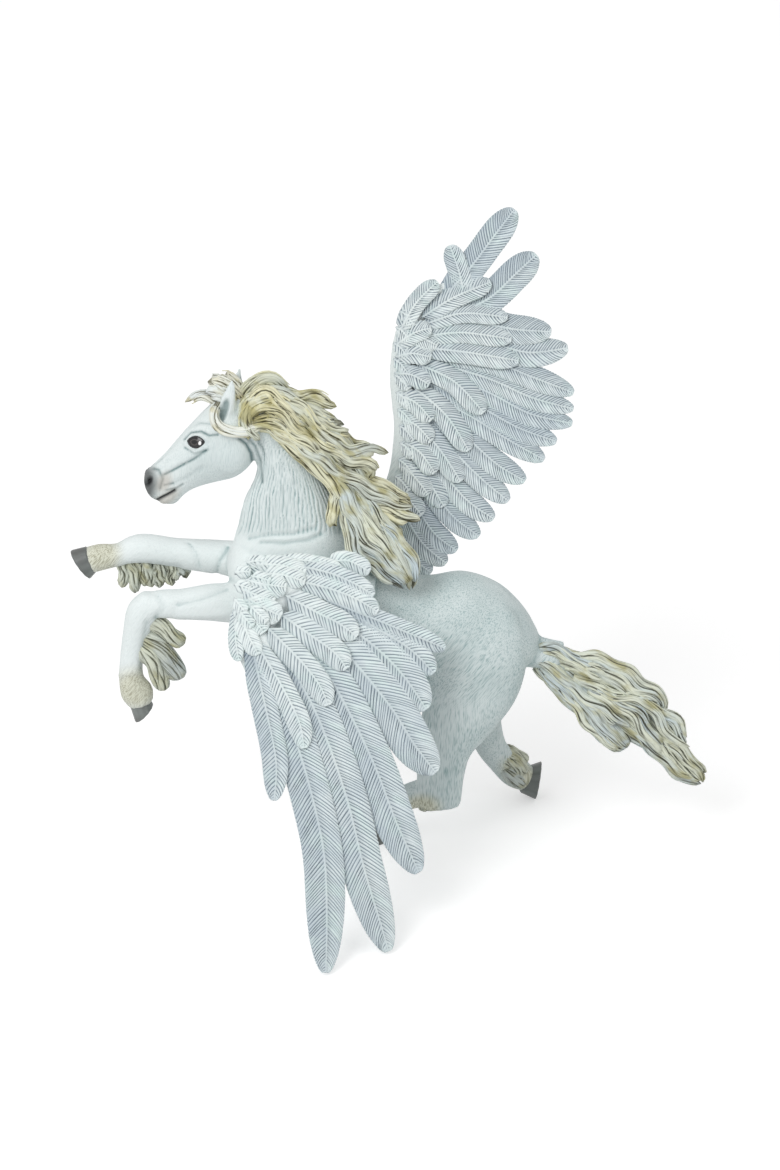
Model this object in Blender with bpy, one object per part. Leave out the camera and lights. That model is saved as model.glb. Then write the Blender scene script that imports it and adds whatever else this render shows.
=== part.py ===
"""Winged horse figurine, moulded in one piece.

The horse leaps to the left on one flat hind hoof, the toe of the other hind hoof and
two feather tips of its lowered left wing. The right wing is raised.

The figure is set out on a design sheet that leans back from the viewer. A place on it
is (x, rise, depth) in millimetres: x runs from head to tail, rise goes up the leaning
sheet, and depth is the level distance away from the viewer. place() turns it into
metres with +Z up, so the floor is at Z = 0.
"""

import bisect
import math
from dataclasses import dataclass

import bmesh
import bpy
from mathutils import Matrix, Vector

MM = 0.001

# Stance
SHEET_LEAN = math.radians(25.0)
STANCE_DEPTH = 1.0
TOE_DEPTH = 24.5

# Trunk, neck and head
CHEST_HALF_WIDTH = 9.0
BARREL_HALF_WIDTH = 12.5
RUMP_HALF_WIDTH = 10.5
NECK_HALF_WIDTH = 6.4
JAW_HALF_WIDTH = 6.3
MUZZLE_HALF_WIDTH = 3.5
EAR_THICKNESS = 2.6
EAR_SPREAD = 4.4

# Legs
CANNON_RADIUS = 3.0
KNEE_RADIUS = 3.9
HOOF_HEIGHT = 6.5
SOLE_HALF_LENGTH = 4.9
SOLE_HALF_WIDTH = 4.3
FORELEG_DEPTH = 8.5
HAUNCH_DEPTH = 6.5

# Feathers
RAISED_WING_LENGTH = 94.8
LOWERED_WING_LENGTH = 93.1
FLIGHT_THICKNESS = 1.9
COVERT_THICKNESS = 1.7
FEATHER_EDGE = 0.6
LAYER_STEP = 1.0
SHINGLE_TILT = 0.45
ROUND_FROM = 0.74
TIP_HEIGHT = 0.7
ARM_RADIUS = 3.2

# Hair
TAIL_LENGTH = 54.9
LOCK_FLATNESS = 0.62
MANE_DEPTH = 5.0
TAIL_HALF_DEPTH = 3.0

# Facets
CURVE_STEPS = 12
BODY_SIDES = 24
LEG_SIDES = 12
LOCK_SIDES = 6
FLESH_GRAIN = 0.8
FLESH_FACETS = 4200
FIGURE_FACETS = 11800
SOFTEN_PASSES = 4
SHARP_ANGLE = 35.0
VOID_LIMIT = 1e-10
FLIGHT_SHARES = (0.0, 0.3, 0.55, 0.75, 0.88, 0.96, 1.0)
COVERT_SHARES = (0.0, 0.35, 0.65, 0.85, 0.95, 1.0)


def place(x, rise, depth):
    """Turns a place on the leaning design sheet into a point in metres."""
    height = (rise - (depth - STANCE_DEPTH) * math.sin(SHEET_LEAN)) / math.cos(SHEET_LEAN)
    return Vector((x, depth, height)) * MM


def depth_above_floor(rise, height):
    """The depth at which a place with this rise lies at a height above the floor."""
    return STANCE_DEPTH + (rise - height * math.cos(SHEET_LEAN)) / math.sin(SHEET_LEAN)


def even(count):
    """Evenly spread shares of a length, from 0 to 1."""
    return [index / (count - 1) for index in range(count)]


def spline(knots, shares):
    """Reads places at the given shares of the length of a smooth curve through the knots."""
    ends = [knots[0]] + list(knots) + [knots[-1]]
    fine = []
    for span in range(len(knots) - 1):
        for step in range(CURVE_STEPS):
            t = step / CURVE_STEPS
            fine.append(tuple(
                0.5 * (2 * b + (c - a) * t + (2 * a - 5 * b + 4 * c - d) * t * t
                       + (3 * b - a - 3 * c + d) * t ** 3)
                for a, b, c, d in zip(*ends[span:span + 4])))
    fine.append(tuple(knots[-1]))
    lengths = [0.0]
    for here, there in zip(fine, fine[1:]):
        lengths.append(lengths[-1] + math.dist(here[:2], there[:2]))
    places = []
    for share in shares:
        goal = share * lengths[-1]
        step = min(max(bisect.bisect_left(lengths, goal), 1), len(fine) - 1)
        part_way = (goal - lengths[step - 1]) / (lengths[step] - lengths[step - 1])
        places.append(tuple(a + (b - a) * part_way for a, b in zip(fine[step - 1], fine[step])))
    return places


class Mould:
    """Collects the closed forms that are melted into the one solid."""

    def __init__(self):
        self.flesh = self.heap("flesh")
        self.trim = self.heap("trim")
        self.finishes = {
            "coat": self.finish("coat", (0.80, 0.84, 0.85), 0.55),
            "plume": self.finish("plume", (0.74, 0.80, 0.84), 0.55),
            "hair": self.finish("hair", (0.66, 0.58, 0.40), 0.60),
            "hoof": self.finish("hoof", (0.05, 0.06, 0.06), 0.45),
        }

    @staticmethod
    def heap(name):
        """Makes a collection for forms that are melted together."""
        collection = bpy.data.collections.new(name)
        bpy.context.scene.collection.children.link(collection)
        return collection

    @staticmethod
    def finish(name, colour, roughness):
        """Makes one painted vinyl finish."""
        material = bpy.data.materials.new(name)
        material.use_nodes = True
        shader = material.node_tree.nodes["Principled BSDF"]
        shader.inputs["Base Color"].default_value = (*colour, 1.0)
        shader.inputs["Roughness"].default_value = roughness
        shader.inputs["Metallic"].default_value = 0.0
        return material

    def skin(self, name, rings, finish):
        """Closes a row of equal rings into a form, with a face at each end."""
        sides = len(rings[0])
        corners = [corner for ring in rings for corner in ring]
        faces = []
        for row in range(len(rings) - 1):
            for side in range(sides):
                here = row * sides + side
                beside = row * sides + (side + 1) % sides
                faces.append((here, beside, beside + sides, here + sides))
        faces.append(tuple(reversed(range(sides))))
        faces.append(tuple(range(len(corners) - sides, len(corners))))
        mesh = bpy.data.meshes.new(name)
        mesh.from_pydata(corners, [], faces)
        shell = bmesh.new()
        shell.from_mesh(mesh)
        bmesh.ops.triangulate(shell, faces=shell.faces)
        bmesh.ops.recalc_face_normals(shell, faces=shell.faces)
        shell.to_mesh(mesh)
        shell.free()
        mesh.materials.append(self.finishes[finish])
        form = bpy.data.objects.new(name, mesh)
        form.hide_render = True
        form.display_type = "WIRE"
        heap = self.flesh if finish == "coat" else self.trim
        heap.objects.link(form)
        return form


def profile_form(mould, name, pairs, stations, sides, finish="coat"):
    """Lofts ovals between pairs of outline places.

    Each pair is (x above, rise above, x below, rise below, half width, depth). The
    oval is drawn in a little, so that its outline seen along the sheet passes through
    the two places.
    """
    rings = []
    for x_up, up, x_down, down, half_width, depth in spline(pairs, even(stations)):
        middle = place((x_up + x_down) / 2, (up + down) / 2, depth)
        reach = place(x_up, up, depth) - middle
        half_height = math.hypot(x_up - x_down, up - down) / 2
        hidden = min(half_width * math.sin(SHEET_LEAN) / half_height, 0.8)
        reach *= math.sqrt(1 - hidden ** 2)
        across = Vector((0, half_width * MM, 0))
        turns = [2 * math.pi * side / sides for side in range(sides)]
        rings.append([middle + reach * math.cos(a) + across * math.sin(a) for a in turns])
    return mould.skin(name, rings, finish)


def tube_form(mould, name, knots, stations, sides, finish="coat"):
    """Lofts ovals along a path of (x, rise, depth, half thickness, half depth)."""
    reads = spline(knots, even(stations))
    centres = [place(x, rise, depth) for x, rise, depth, _, _ in reads]
    rings = []
    for index, (_, _, _, half_thick, half_depth) in enumerate(reads):
        ahead = centres[min(index + 1, stations - 1)]
        behind = centres[max(index - 1, 0)]
        along = (ahead - behind).normalized()
        across = (Vector((0, 1, 0)) - along * along.y).normalized()
        normal = along.cross(across)
        turns = [2 * math.pi * (side + 0.5) / sides for side in range(sides)]
        rings.append([centres[index] + normal * (half_thick * MM * math.cos(a))
                      + across * (half_depth * MM * math.sin(a)) for a in turns])
    return mould.skin(name, rings, finish)


def lock_form(mould, name, knots, half_width, finish="hair", stations=8):
    """A lock of hair: a flattened tube that swells and then runs out to a blunt tip."""
    path = []
    for step, (x, rise, depth) in enumerate(spline(knots, even(stations))):
        along = step / (stations - 1)
        swell = 0.45 + 0.55 * math.sin(math.pi * min(along * 1.5, 0.5))
        taper = math.sqrt(max(1.0 - max(along - 0.35, 0.0) / 0.65, 0.0)) * 0.82 + 0.18
        width = half_width * swell * taper
        path.append((x, rise, depth, width, max(width * LOCK_FLATNESS, 0.6)))
    return tube_form(mould, name, path, stations, LOCK_SIDES, finish)


@dataclass(frozen=True)
class Reach:
    """Brings a drawn limb to its length, out from the place on the body that it grows from."""

    root: tuple
    tip: tuple
    length: float

    @property
    def share(self):
        """The limb's length as a share of the drawn one."""
        return self.length / math.dist(self.root, self.tip)

    def places(self, drawn):
        """The drawn places, moved along from the root, with what follows x and rise kept."""
        root_x, root_rise = self.root
        return [(root_x + (x - root_x) * self.share, root_rise + (rise - root_rise) * self.share, *rest)
                for x, rise, *rest in drawn]


@dataclass(frozen=True)
class WingSheet:
    """The curved sheet that one wing's feathers lie on."""

    reach: Reach
    root_rise: float
    root_depth: float
    slope: float
    twist: float
    twist_x: float

    def depth(self, x, rise):
        """Depth of the sheet behind a place of the drawing."""
        away = rise - self.root_rise
        return self.root_depth + self.slope * away - self.twist * (x - self.twist_x) * away / 100

    def point(self, x, rise):
        """A point on the sheet, in metres."""
        return place(x, rise, self.depth(x, rise))

    def normal(self, x, rise):
        """The direction out of the sheet on the viewer's side."""
        along_x = self.point(x + 1, rise) - self.point(x - 1, rise)
        along_rise = self.point(x, rise + 1) - self.point(x, rise - 1)
        return along_x.cross(along_rise).normalized()


def feather_form(mould, name, sheet, knots, width, layer, thickness, shingle=SHINGLE_TILT):
    """A feather: a thin blade with a raised shaft and a round tip.

    Its trailing side is raised by the shingle tilt, so it lies over the next feather.
    """
    shares = FLIGHT_SHARES if thickness == FLIGHT_THICKNESS else COVERT_SHARES
    reads = spline(sheet.reach.places(knots), shares)
    centres = [sheet.point(x, rise) for x, rise in reads]
    rings = []
    for index, (x, rise) in enumerate(reads):
        along = shares[index]
        ahead = centres[min(index + 1, len(shares) - 1)]
        behind = centres[max(index - 1, 0)]
        tangent = (ahead - behind).normalized()
        normal = sheet.normal(x, rise)
        normal = (normal - tangent * normal.dot(tangent)).normalized()
        side = tangent.cross(normal)
        spread = 0.55 + 0.45 * math.sin(math.pi * min(along * 1.6, 0.5))
        closing = max(along - ROUND_FROM, 0.0) / (1.0 - ROUND_FROM)
        rounding = math.sqrt(max(1.0 - closing ** 2, 0.0)) * 0.7 + 0.3
        half = width / 2 * sheet.reach.share * spread * rounding
        lift = normal * (layer * LAYER_STEP * MM)
        edge = FEATHER_EDGE / 2
        ridge = thickness / 2
        section = [(-1, edge - ridge * 0.4), (0, ridge), (1, edge - ridge * 0.4), (0.8, -ridge), (-0.8, -ridge)]
        rings.append([centres[index] + lift + side * (half * MM * u)
                      + normal * ((v - u * shingle) * MM) for u, v in section])
    return mould.skin(name, rings, "plume")


def hoof_form(mould, name, coronet, sole, half_width):
    """A hoof between its coronet and its sole, each (x, rise, x, rise, depth) across."""
    rings = []
    for share, tuck in ((-0.15, 0.8), (0.0, 0.95), (0.9, 1.0), (1.0, 0.94)):
        a, b, c, d, depth = (u + (v - u) * share for u, v in zip(coronet, sole))
        front = place(a, b, depth)
        heel = place(c, d, depth)
        middle = (front + heel) / 2
        reach = (front - heel) / 2 * tuck
        across = Vector((0, half_width * MM * tuck * (0.84 + 0.16 * share), 0))
        turns = [2 * math.pi * side / LEG_SIDES for side in range(LEG_SIDES)]
        rings.append([middle + reach * math.cos(t) + across * math.sin(t) for t in turns])
    return mould.skin(name, rings, "hoof")


def trunk(mould):
    """Barrel, chest and rump as one oval loft."""
    chest, barrel, rump = CHEST_HALF_WIDTH, BARREL_HALF_WIDTH, RUMP_HALF_WIDTH
    pairs = [
        (-41.0, 70.0, -38.5, 62.0, chest * 0.45, 0),
        (-38.0, 77.0, -36.0, 54.0, chest, 0),
        (-28.0, 80.0, -28.0, 46.5, barrel * 0.92, 0),
        (-15.0, 78.0, -16.0, 42.5, barrel, 0),
        (-3.0, 71.5, -3.0, 40.5, barrel, 0),
        (8.0, 67.2, 8.0, 41.0, barrel * 0.98, 0),
        (18.0, 68.2, 20.0, 42.0, barrel, 0),
        (27.0, 65.2, 28.0, 41.5, rump, 0),
        (33.5, 59.2, 33.5, 43.5, rump * 0.78, 0),
        (37.2, 53.0, 36.5, 47.0, rump * 0.42, 0),
    ]
    return profile_form(mould, "trunk", pairs, 22, BODY_SIDES)


def neck(mould):
    """The arched neck, from the withers to the poll."""
    wide = NECK_HALF_WIDTH
    pairs = [
        (-6.0, 72.0, -36.0, 58.0, wide * 1.5, 0),
        (-9.0, 79.0, -40.2, 70.0, wide * 1.35, 0),
        (-13.0, 86.0, -38.2, 79.5, wide * 1.1, 0),
        (-17.5, 94.0, -36.6, 85.5, wide, 0),
        (-22.0, 102.0, -33.7, 91.0, wide * 0.86, 0),
        (-28.0, 109.5, -33.5, 95.5, wide * 0.8, 0),
        (-35.0, 113.0, -37.0, 98.0, wide * 0.8, 0),
    ]
    return profile_form(mould, "neck", pairs, 13, 16)


def head(mould):
    """The head from poll to lips, with the round jaw."""
    jaw, muzzle = JAW_HALF_WIDTH, MUZZLE_HALF_WIDTH
    pairs = [
        (-37.0, 113.0, -31.5, 100.0, jaw * 0.75, 0),
        (-42.0, 111.5, -34.2, 94.6, jaw, 0),
        (-46.0, 108.2, -38.0, 91.4, jaw * 1.03, 0),
        (-49.5, 104.7, -43.5, 90.0, jaw * 0.95, 0),
        (-52.5, 101.4, -48.0, 88.7, jaw * 0.76, 0),
        (-55.8, 97.6, -51.0, 87.0, muzzle * 1.12, 0),
        (-58.8, 94.8, -53.3, 84.7, muzzle, 0),
        (-61.1, 92.4, -56.2, 84.9, muzzle, 0),
        (-61.3, 89.9, -59.3, 86.4, muzzle * 0.7, 0),
    ]
    return profile_form(mould, "head", pairs, 17, 16)


def face(mould):
    """Cheeks, eyes and nostrils, the same on both sides."""
    for side, word in ((-1, "near"), (1, "far")):
        tube_form(mould, f"{word}_cheek", [
            (-35.2, 97.0, side * JAW_HALF_WIDTH * 0.55, 2.5, 1.6),
            (-37.5, 97.0, side * JAW_HALF_WIDTH * 0.62, 5.2, 3.0),
            (-41.5, 97.0, side * JAW_HALF_WIDTH * 0.62, 5.4, 3.0),
            (-45.5, 97.0, side * JAW_HALF_WIDTH * 0.55, 2.5, 1.6),
        ], 7, 12)
        tube_form(mould, f"{word}_eye", [
            (-50.3, 100.6, side * JAW_HALF_WIDTH * 0.72, 0.7, 0.6),
            (-49.0, 100.2, side * JAW_HALF_WIDTH * 0.75, 1.7, 1.5),
            (-47.3, 99.9, side * JAW_HALF_WIDTH * 0.77, 1.6, 1.5),
            (-45.7, 99.8, side * JAW_HALF_WIDTH * 0.77, 0.6, 0.6),
        ], 6, 8)
        tube_form(mould, f"{word}_nostril", [
            (-60.6, 92.6, side * MUZZLE_HALF_WIDTH * 0.6, 0.8, 0.8),
            (-60.0, 90.8, side * MUZZLE_HALF_WIDTH * 0.7, 1.5, 1.5),
            (-59.4, 88.8, side * MUZZLE_HALF_WIDTH * 0.6, 0.8, 0.8),
        ], 5, 8)


def ears(mould):
    """Two upright leaf-shaped ears."""
    for name, base_x, base_rise, tip_x, tip_rise, depth in (
            ("near_ear", -40.3, 104.5, -38.7, 115.3, -EAR_SPREAD),
            ("far_ear", -38.4, 107.5, -37.2, 118.2, EAR_SPREAD)):
        half = EAR_THICKNESS / 2
        middle_x = (base_x + tip_x) / 2 - 0.3
        middle_rise = (base_rise + tip_rise) / 2
        knots = [
            (base_x, base_rise, depth * 0.8, 1.4, half),
            (middle_x - 0.4, middle_rise - 1.2, depth, 2.1, half),
            (middle_x + 0.3, middle_rise + 1.8, depth, 1.6, half * 0.8),
            (tip_x, tip_rise, depth, 0.4, half * 0.3),
        ]
        tube_form(mould, name, knots, 6, 8)


def forelegs(mould):
    """The far foreleg stretched out ahead, and the near one folded at the knee."""
    far, near = FORELEG_DEPTH, -FORELEG_DEPTH
    thin, knee = CANNON_RADIUS, KNEE_RADIUS
    tube_form(mould, "far_foreleg", [
        (-30.0, 68.5, far * 0.6, 8.0, 5.5),
        (-39.0, 71.0, far * 0.8, 4.8, 4.6),
        (-46.0, 71.8, far * 0.9, 4.3, 4.1),
        (-54.0, 72.6, far, 3.9, 3.6),
        (-62.5, 73.6, far, knee, 3.6),
        (-68.0, 72.1, far, thin, 2.9),
        (-72.5, 71.5, far, thin * 1.17, 3.1),
        (-76.0, 70.6, far, thin * 1.15, 3.3),
    ], 14, LEG_SIDES)
    hoof_form(mould, "far_fore_hoof", (-76.4, 74.0, -73.8, 67.7, far), (-80.2, 72.9, -75.1, 66.4, far), 3.7)
    tube_form(mould, "near_forearm", [
        (-28.0, 61.5, near * 0.7, 8.0, 5.5),
        (-38.0, 60.2, near * 0.9, 5.5, 4.8),
        (-45.0, 60.2, near, 4.8, 4.2),
        (-52.0, 59.8, near, 3.9, 3.6),
        (-58.0, 59.7, near, 3.6, 3.4),
        (-62.5, 58.0, near, 2.6, 2.6),
    ], 10, LEG_SIDES)
    tube_form(mould, "near_fore_cannon", [
        (-59.8, 62.3, near, 1.8, 2.2),
        (-61.7, 58.2, near, knee, 3.4),
        (-63.5, 52.0, near, thin * 1.12, 2.9),
        (-64.6, 46.0, near, thin, 2.7),
        (-64.7, 41.0, near, thin * 1.1, 3.0),
        (-63.3, 37.6, near, thin * 1.42, 3.2),
        (-62.3, 34.6, near, thin, 3.0),
    ], 12, LEG_SIDES)
    hoof_form(mould, "near_fore_hoof", (-65.1, 33.9, -60.2, 36.1, near), (-63.9, 30.4, -59.3, 34.5, near), 3.4)


def hindlegs(mould):
    """The near hindleg folded over its flat hoof, and the far one kicking back."""
    near, far = -HAUNCH_DEPTH, HAUNCH_DEPTH
    thin = CANNON_RADIUS
    tube_form(mould, "near_thigh", [
        (20.0, 59.5, near * 0.6, 8.0, 3.2),
        (20.8, 54.0, near * 0.9, 12.0, 5.8),
        (21.0, 47.0, near, 13.4, 6.8),
        (20.5, 40.0, near, 12.2, 6.4),
        (17.0, 31.5, near * 1.15, 9.6, 5.4),
        (13.9, 24.0, near * 1.25, 7.0, 4.4),
        (12.7, 17.0, near * 1.28, 6.1, 3.8),
        (12.6, 11.6, near * 1.28, 5.6, 3.5),
        (12.7, 8.6, near * 1.28, 5.0, 3.0),
    ], 15, 12)
    tube_form(mould, "near_hind_cannon", [
        (15.0, 12.2, near * 1.25, 3.7, 3.4),
        (9.0, 12.2, near * 1.1, 3.8, 3.3),
        (4.0, 10.8, near * 0.7, thin * 1.13, 3.2),
        (-0.5, 8.4, near * 0.25, thin * 1.2, 3.3),
        (-3.5, 5.6, STANCE_DEPTH, thin * 1.05, 3.1),
    ], 9, LEG_SIDES)
    turns = [2 * math.pi * side / 16 for side in range(16)]
    rings = []
    for level, tuck in ((HOOF_HEIGHT, 0.74), (HOOF_HEIGHT * 0.9, 0.8), (0.5, 1.0), (0.0, 0.96)):
        shift = -3.6 - 1.6 * (1 - level / HOOF_HEIGHT)
        rings.append([Vector((shift + SOLE_HALF_LENGTH * tuck * math.cos(a),
                              STANCE_DEPTH + SOLE_HALF_WIDTH * tuck * math.sin(a), level)) * MM
                      for a in turns])
    mould.skin("near_hind_hoof", rings, "hoof")
    toe = TOE_DEPTH
    tube_form(mould, "far_thigh", [
        (20.0, 61.0, far * 0.6, 8.0, 3.2),
        (21.5, 55.0, far * 0.9, 11.5, 5.8),
        (22.5, 47.5, far, 12.0, 6.6),
        (22.5, 39.0, far * 1.3, 8.6, 5.6),
        (23.2, 31.5, far * 1.8, 5.2, 4.4),
        (25.5, 24.0, far + (toe - far) * 0.55, 4.0, 3.5),
        (28.8, 19.6, far + (toe - far) * 0.75, 3.8, 3.3),
        (32.2, 16.6, far + (toe - far) * 0.9, 4.2, 3.6),
        (35.0, 14.8, toe, 3.3, 3.4),
    ], 16, LEG_SIDES)
    hoof_form(mould, "far_hind_hoof", (33.3, 11.6, 36.1, 18.1, toe), (37.3, 9.9, 38.9, 19.0, toe), 4.4)


def fetlock_hair(mould):
    """Short locks behind the cannons and at the fetlocks."""
    near, far = -FORELEG_DEPTH, FORELEG_DEPTH
    lock_form(mould, "near_fore_lock_1", [(-62.5, 54.2, near), (-56.0, 52.4, near), (-52.0, 49.2, near)], 2.2,
              stations=6)
    lock_form(mould, "near_fore_lock_2", [(-63.0, 50.5, near), (-56.3, 46.6, near), (-52.4, 40.4, near)], 3.0,
              stations=6)
    lock_form(mould, "near_fore_lock_3", [(-62.5, 47.5, near - 1), (-58.2, 44.0, near - 1),
                                          (-55.4, 38.6, near - 1)], 2.5, stations=6)
    fringe = [(-67.0, -67.6, 64.0), (-64.5, -64.0, 62.4), (-61.3, -60.3, 63.9), (-58.2, -57.2, 64.0),
              (-55.0, -54.2, 64.4), (-52.3, -51.2, 66.2)]
    for index, (root_x, tip_x, tip_rise) in enumerate(fringe):
        knots = [(root_x, 71.0, far), (root_x + 0.4, 67.5, far), (tip_x, tip_rise, far - 0.5)]
        lock_form(mould, f"far_fore_lock_{index + 1}", knots, 2.1, stations=5)
    lock_form(mould, "near_hind_lock", [(9.8, 12.0, -6.5), (9.3, 9.5, -6.5), (9.0, 7.2, -6.0)], 2.9, stations=5)


def wing_arm(mould, name, sheet, knots):
    """The fleshy arm that the feathers of one wing grow from."""
    path = [(x, rise, sheet.depth(x, rise) + sunk, wide * ARM_RADIUS, deep * ARM_RADIUS)
            for x, rise, sunk, wide, deep in sheet.reach.places(knots)]
    tube_form(mould, name, path, 14, LEG_SIDES)


def near_wing(mould):
    """The lowered left wing, with two feather tips on the floor."""
    drawn_tips = [(-15.9, -31.0), (-0.3, -26.2)]
    reach = Reach((-20.0, 62.0), drawn_tips[0], LOWERED_WING_LENGTH)
    second_tip, third_tip = reach.places(drawn_tips)
    root_rise, root_depth = 70.0, -11.5
    fall = depth_above_floor(second_tip[1], TIP_HEIGHT) - root_depth
    slope = fall / (second_tip[1] - root_rise)
    third_flat = root_depth + slope * (third_tip[1] - root_rise)
    third_gain = depth_above_floor(third_tip[1], TIP_HEIGHT) - third_flat
    twist = third_gain * 100 / ((third_tip[0] - second_tip[0]) * (root_rise - third_tip[1]))
    sheet = WingSheet(reach, root_rise, root_depth, slope, twist, second_tip[0])
    wing_arm(mould, "near_arm", sheet, [
        (-6.0, 62.0, 8.0, 2.2, 1.6), (-15.0, 63.5, 4.5, 2.2, 1.5), (-25.0, 62.5, 2.4, 2.0, 1.2),
        (-32.5, 56.5, 1.4, 2.1, 0.9), (-33.5, 48.0, 0.8, 1.4, 0.6), (-30.5, 38.0, 0.4, 0.7, 0.35),
    ])
    flight = [
        ([(-34.5, 50.0), (-30.7, 33.0), (-28.4, 21.0), (-28.7, 11.2)], 6.4, 0.6),
        ([(-31.0, 48.0), (-25.3, 32.0), (-19.6, 13.0), (-16.2, -5.0), drawn_tips[0]], 10.4, 0.2),
        ([(-28.0, 50.0), (-18.5, 33.0), (-11.2, 13.0), (-6.3, -6.5), drawn_tips[1]], 11.0, 0.0),
        ([(-24.0, 54.0), (-13.5, 39.0), (-4.6, 21.5), (1.6, 5.5), (7.3, -6.9)], 10.4, -0.2),
        ([(-21.0, 57.0), (-9.5, 46.0), (0.0, 34.5), (6.0, 25.0), (11.6, 17.8)], 9.4, -0.4),
        ([(-17.0, 58.0), (-6.0, 51.0), (2.5, 43.0), (9.2, 33.5)], 8.2, -0.4),
        ([(-14.0, 60.0), (-3.0, 53.5), (5.0, 48.5), (11.0, 42.5)], 7.2, -0.2),
        ([(-16.0, 60.5), (-4.0, 56.0), (5.0, 52.3), (13.8, 48.7)], 5.6, 0.4),
    ]
    for index, (knots, width, layer) in enumerate(flight):
        feather_form(mould, f"near_flight_{index + 1}", sheet, knots, width, layer, FLIGHT_THICKNESS)
    coverts = [
        ([(-37.0, 60.0), (-38.3, 52.0), (-37.5, 45.4)], 3.6, 0.8),
        ([(-33.5, 50.0), (-27.0, 39.0), (-22.9, 30.5), (-21.6, 23.7)], 6.0, 1.4),
        ([(-30.5, 53.5), (-22.5, 45.5), (-17.8, 39.5), (-15.6, 34.3)], 6.6, 1.3),
        ([(-27.5, 57.0), (-19.5, 51.5), (-14.0, 47.5), (-10.8, 43.4)], 7.0, 1.2),
        ([(-26.0, 61.5), (-18.5, 57.5), (-12.5, 54.5), (-8.3, 51.3)], 7.0, 1.3),
        ([(-23.0, 65.0), (-16.0, 63.5), (-9.0, 61.0), (-3.0, 57.5)], 6.0, 1.5),
        ([(-22.0, 68.5), (-15.0, 67.0), (-9.0, 64.5), (-4.0, 61.5)], 5.2, 2.0),
    ]
    for index, (knots, width, layer) in enumerate(coverts):
        feather_form(mould, f"near_covert_{index + 1}", sheet, knots, width, layer, COVERT_THICKNESS)
    small = [
        ([(-37.5, 60.5), (-34.5, 56.0), (-31.4, 52.0)], 6.6, 2.0),
        ([(-35.5, 60.5), (-31.5, 58.0), (-27.0, 56.0)], 6.0, 2.4),
        ([(-36.0, 64.8), (-31.0, 63.8), (-25.6, 63.2)], 6.2, 2.6),
        ([(-33.5, 68.8), (-27.5, 68.7), (-20.8, 67.0)], 5.2, 2.2),
        ([(-27.5, 70.2), (-20.5, 70.0), (-12.0, 68.4)], 3.6, 1.8),
        ([(-36.5, 67.6), (-33.6, 68.4), (-31.0, 68.8)], 4.2, 1.8),
        ([(-15.5, 69.5), (-10.5, 70.3), (-5.0, 67.5)], 5.0, 1.0),
    ]
    for index, (knots, width, layer) in enumerate(small):
        feather_form(mould, f"near_small_covert_{index + 1}", sheet, knots, width, layer, COVERT_THICKNESS)


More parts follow.
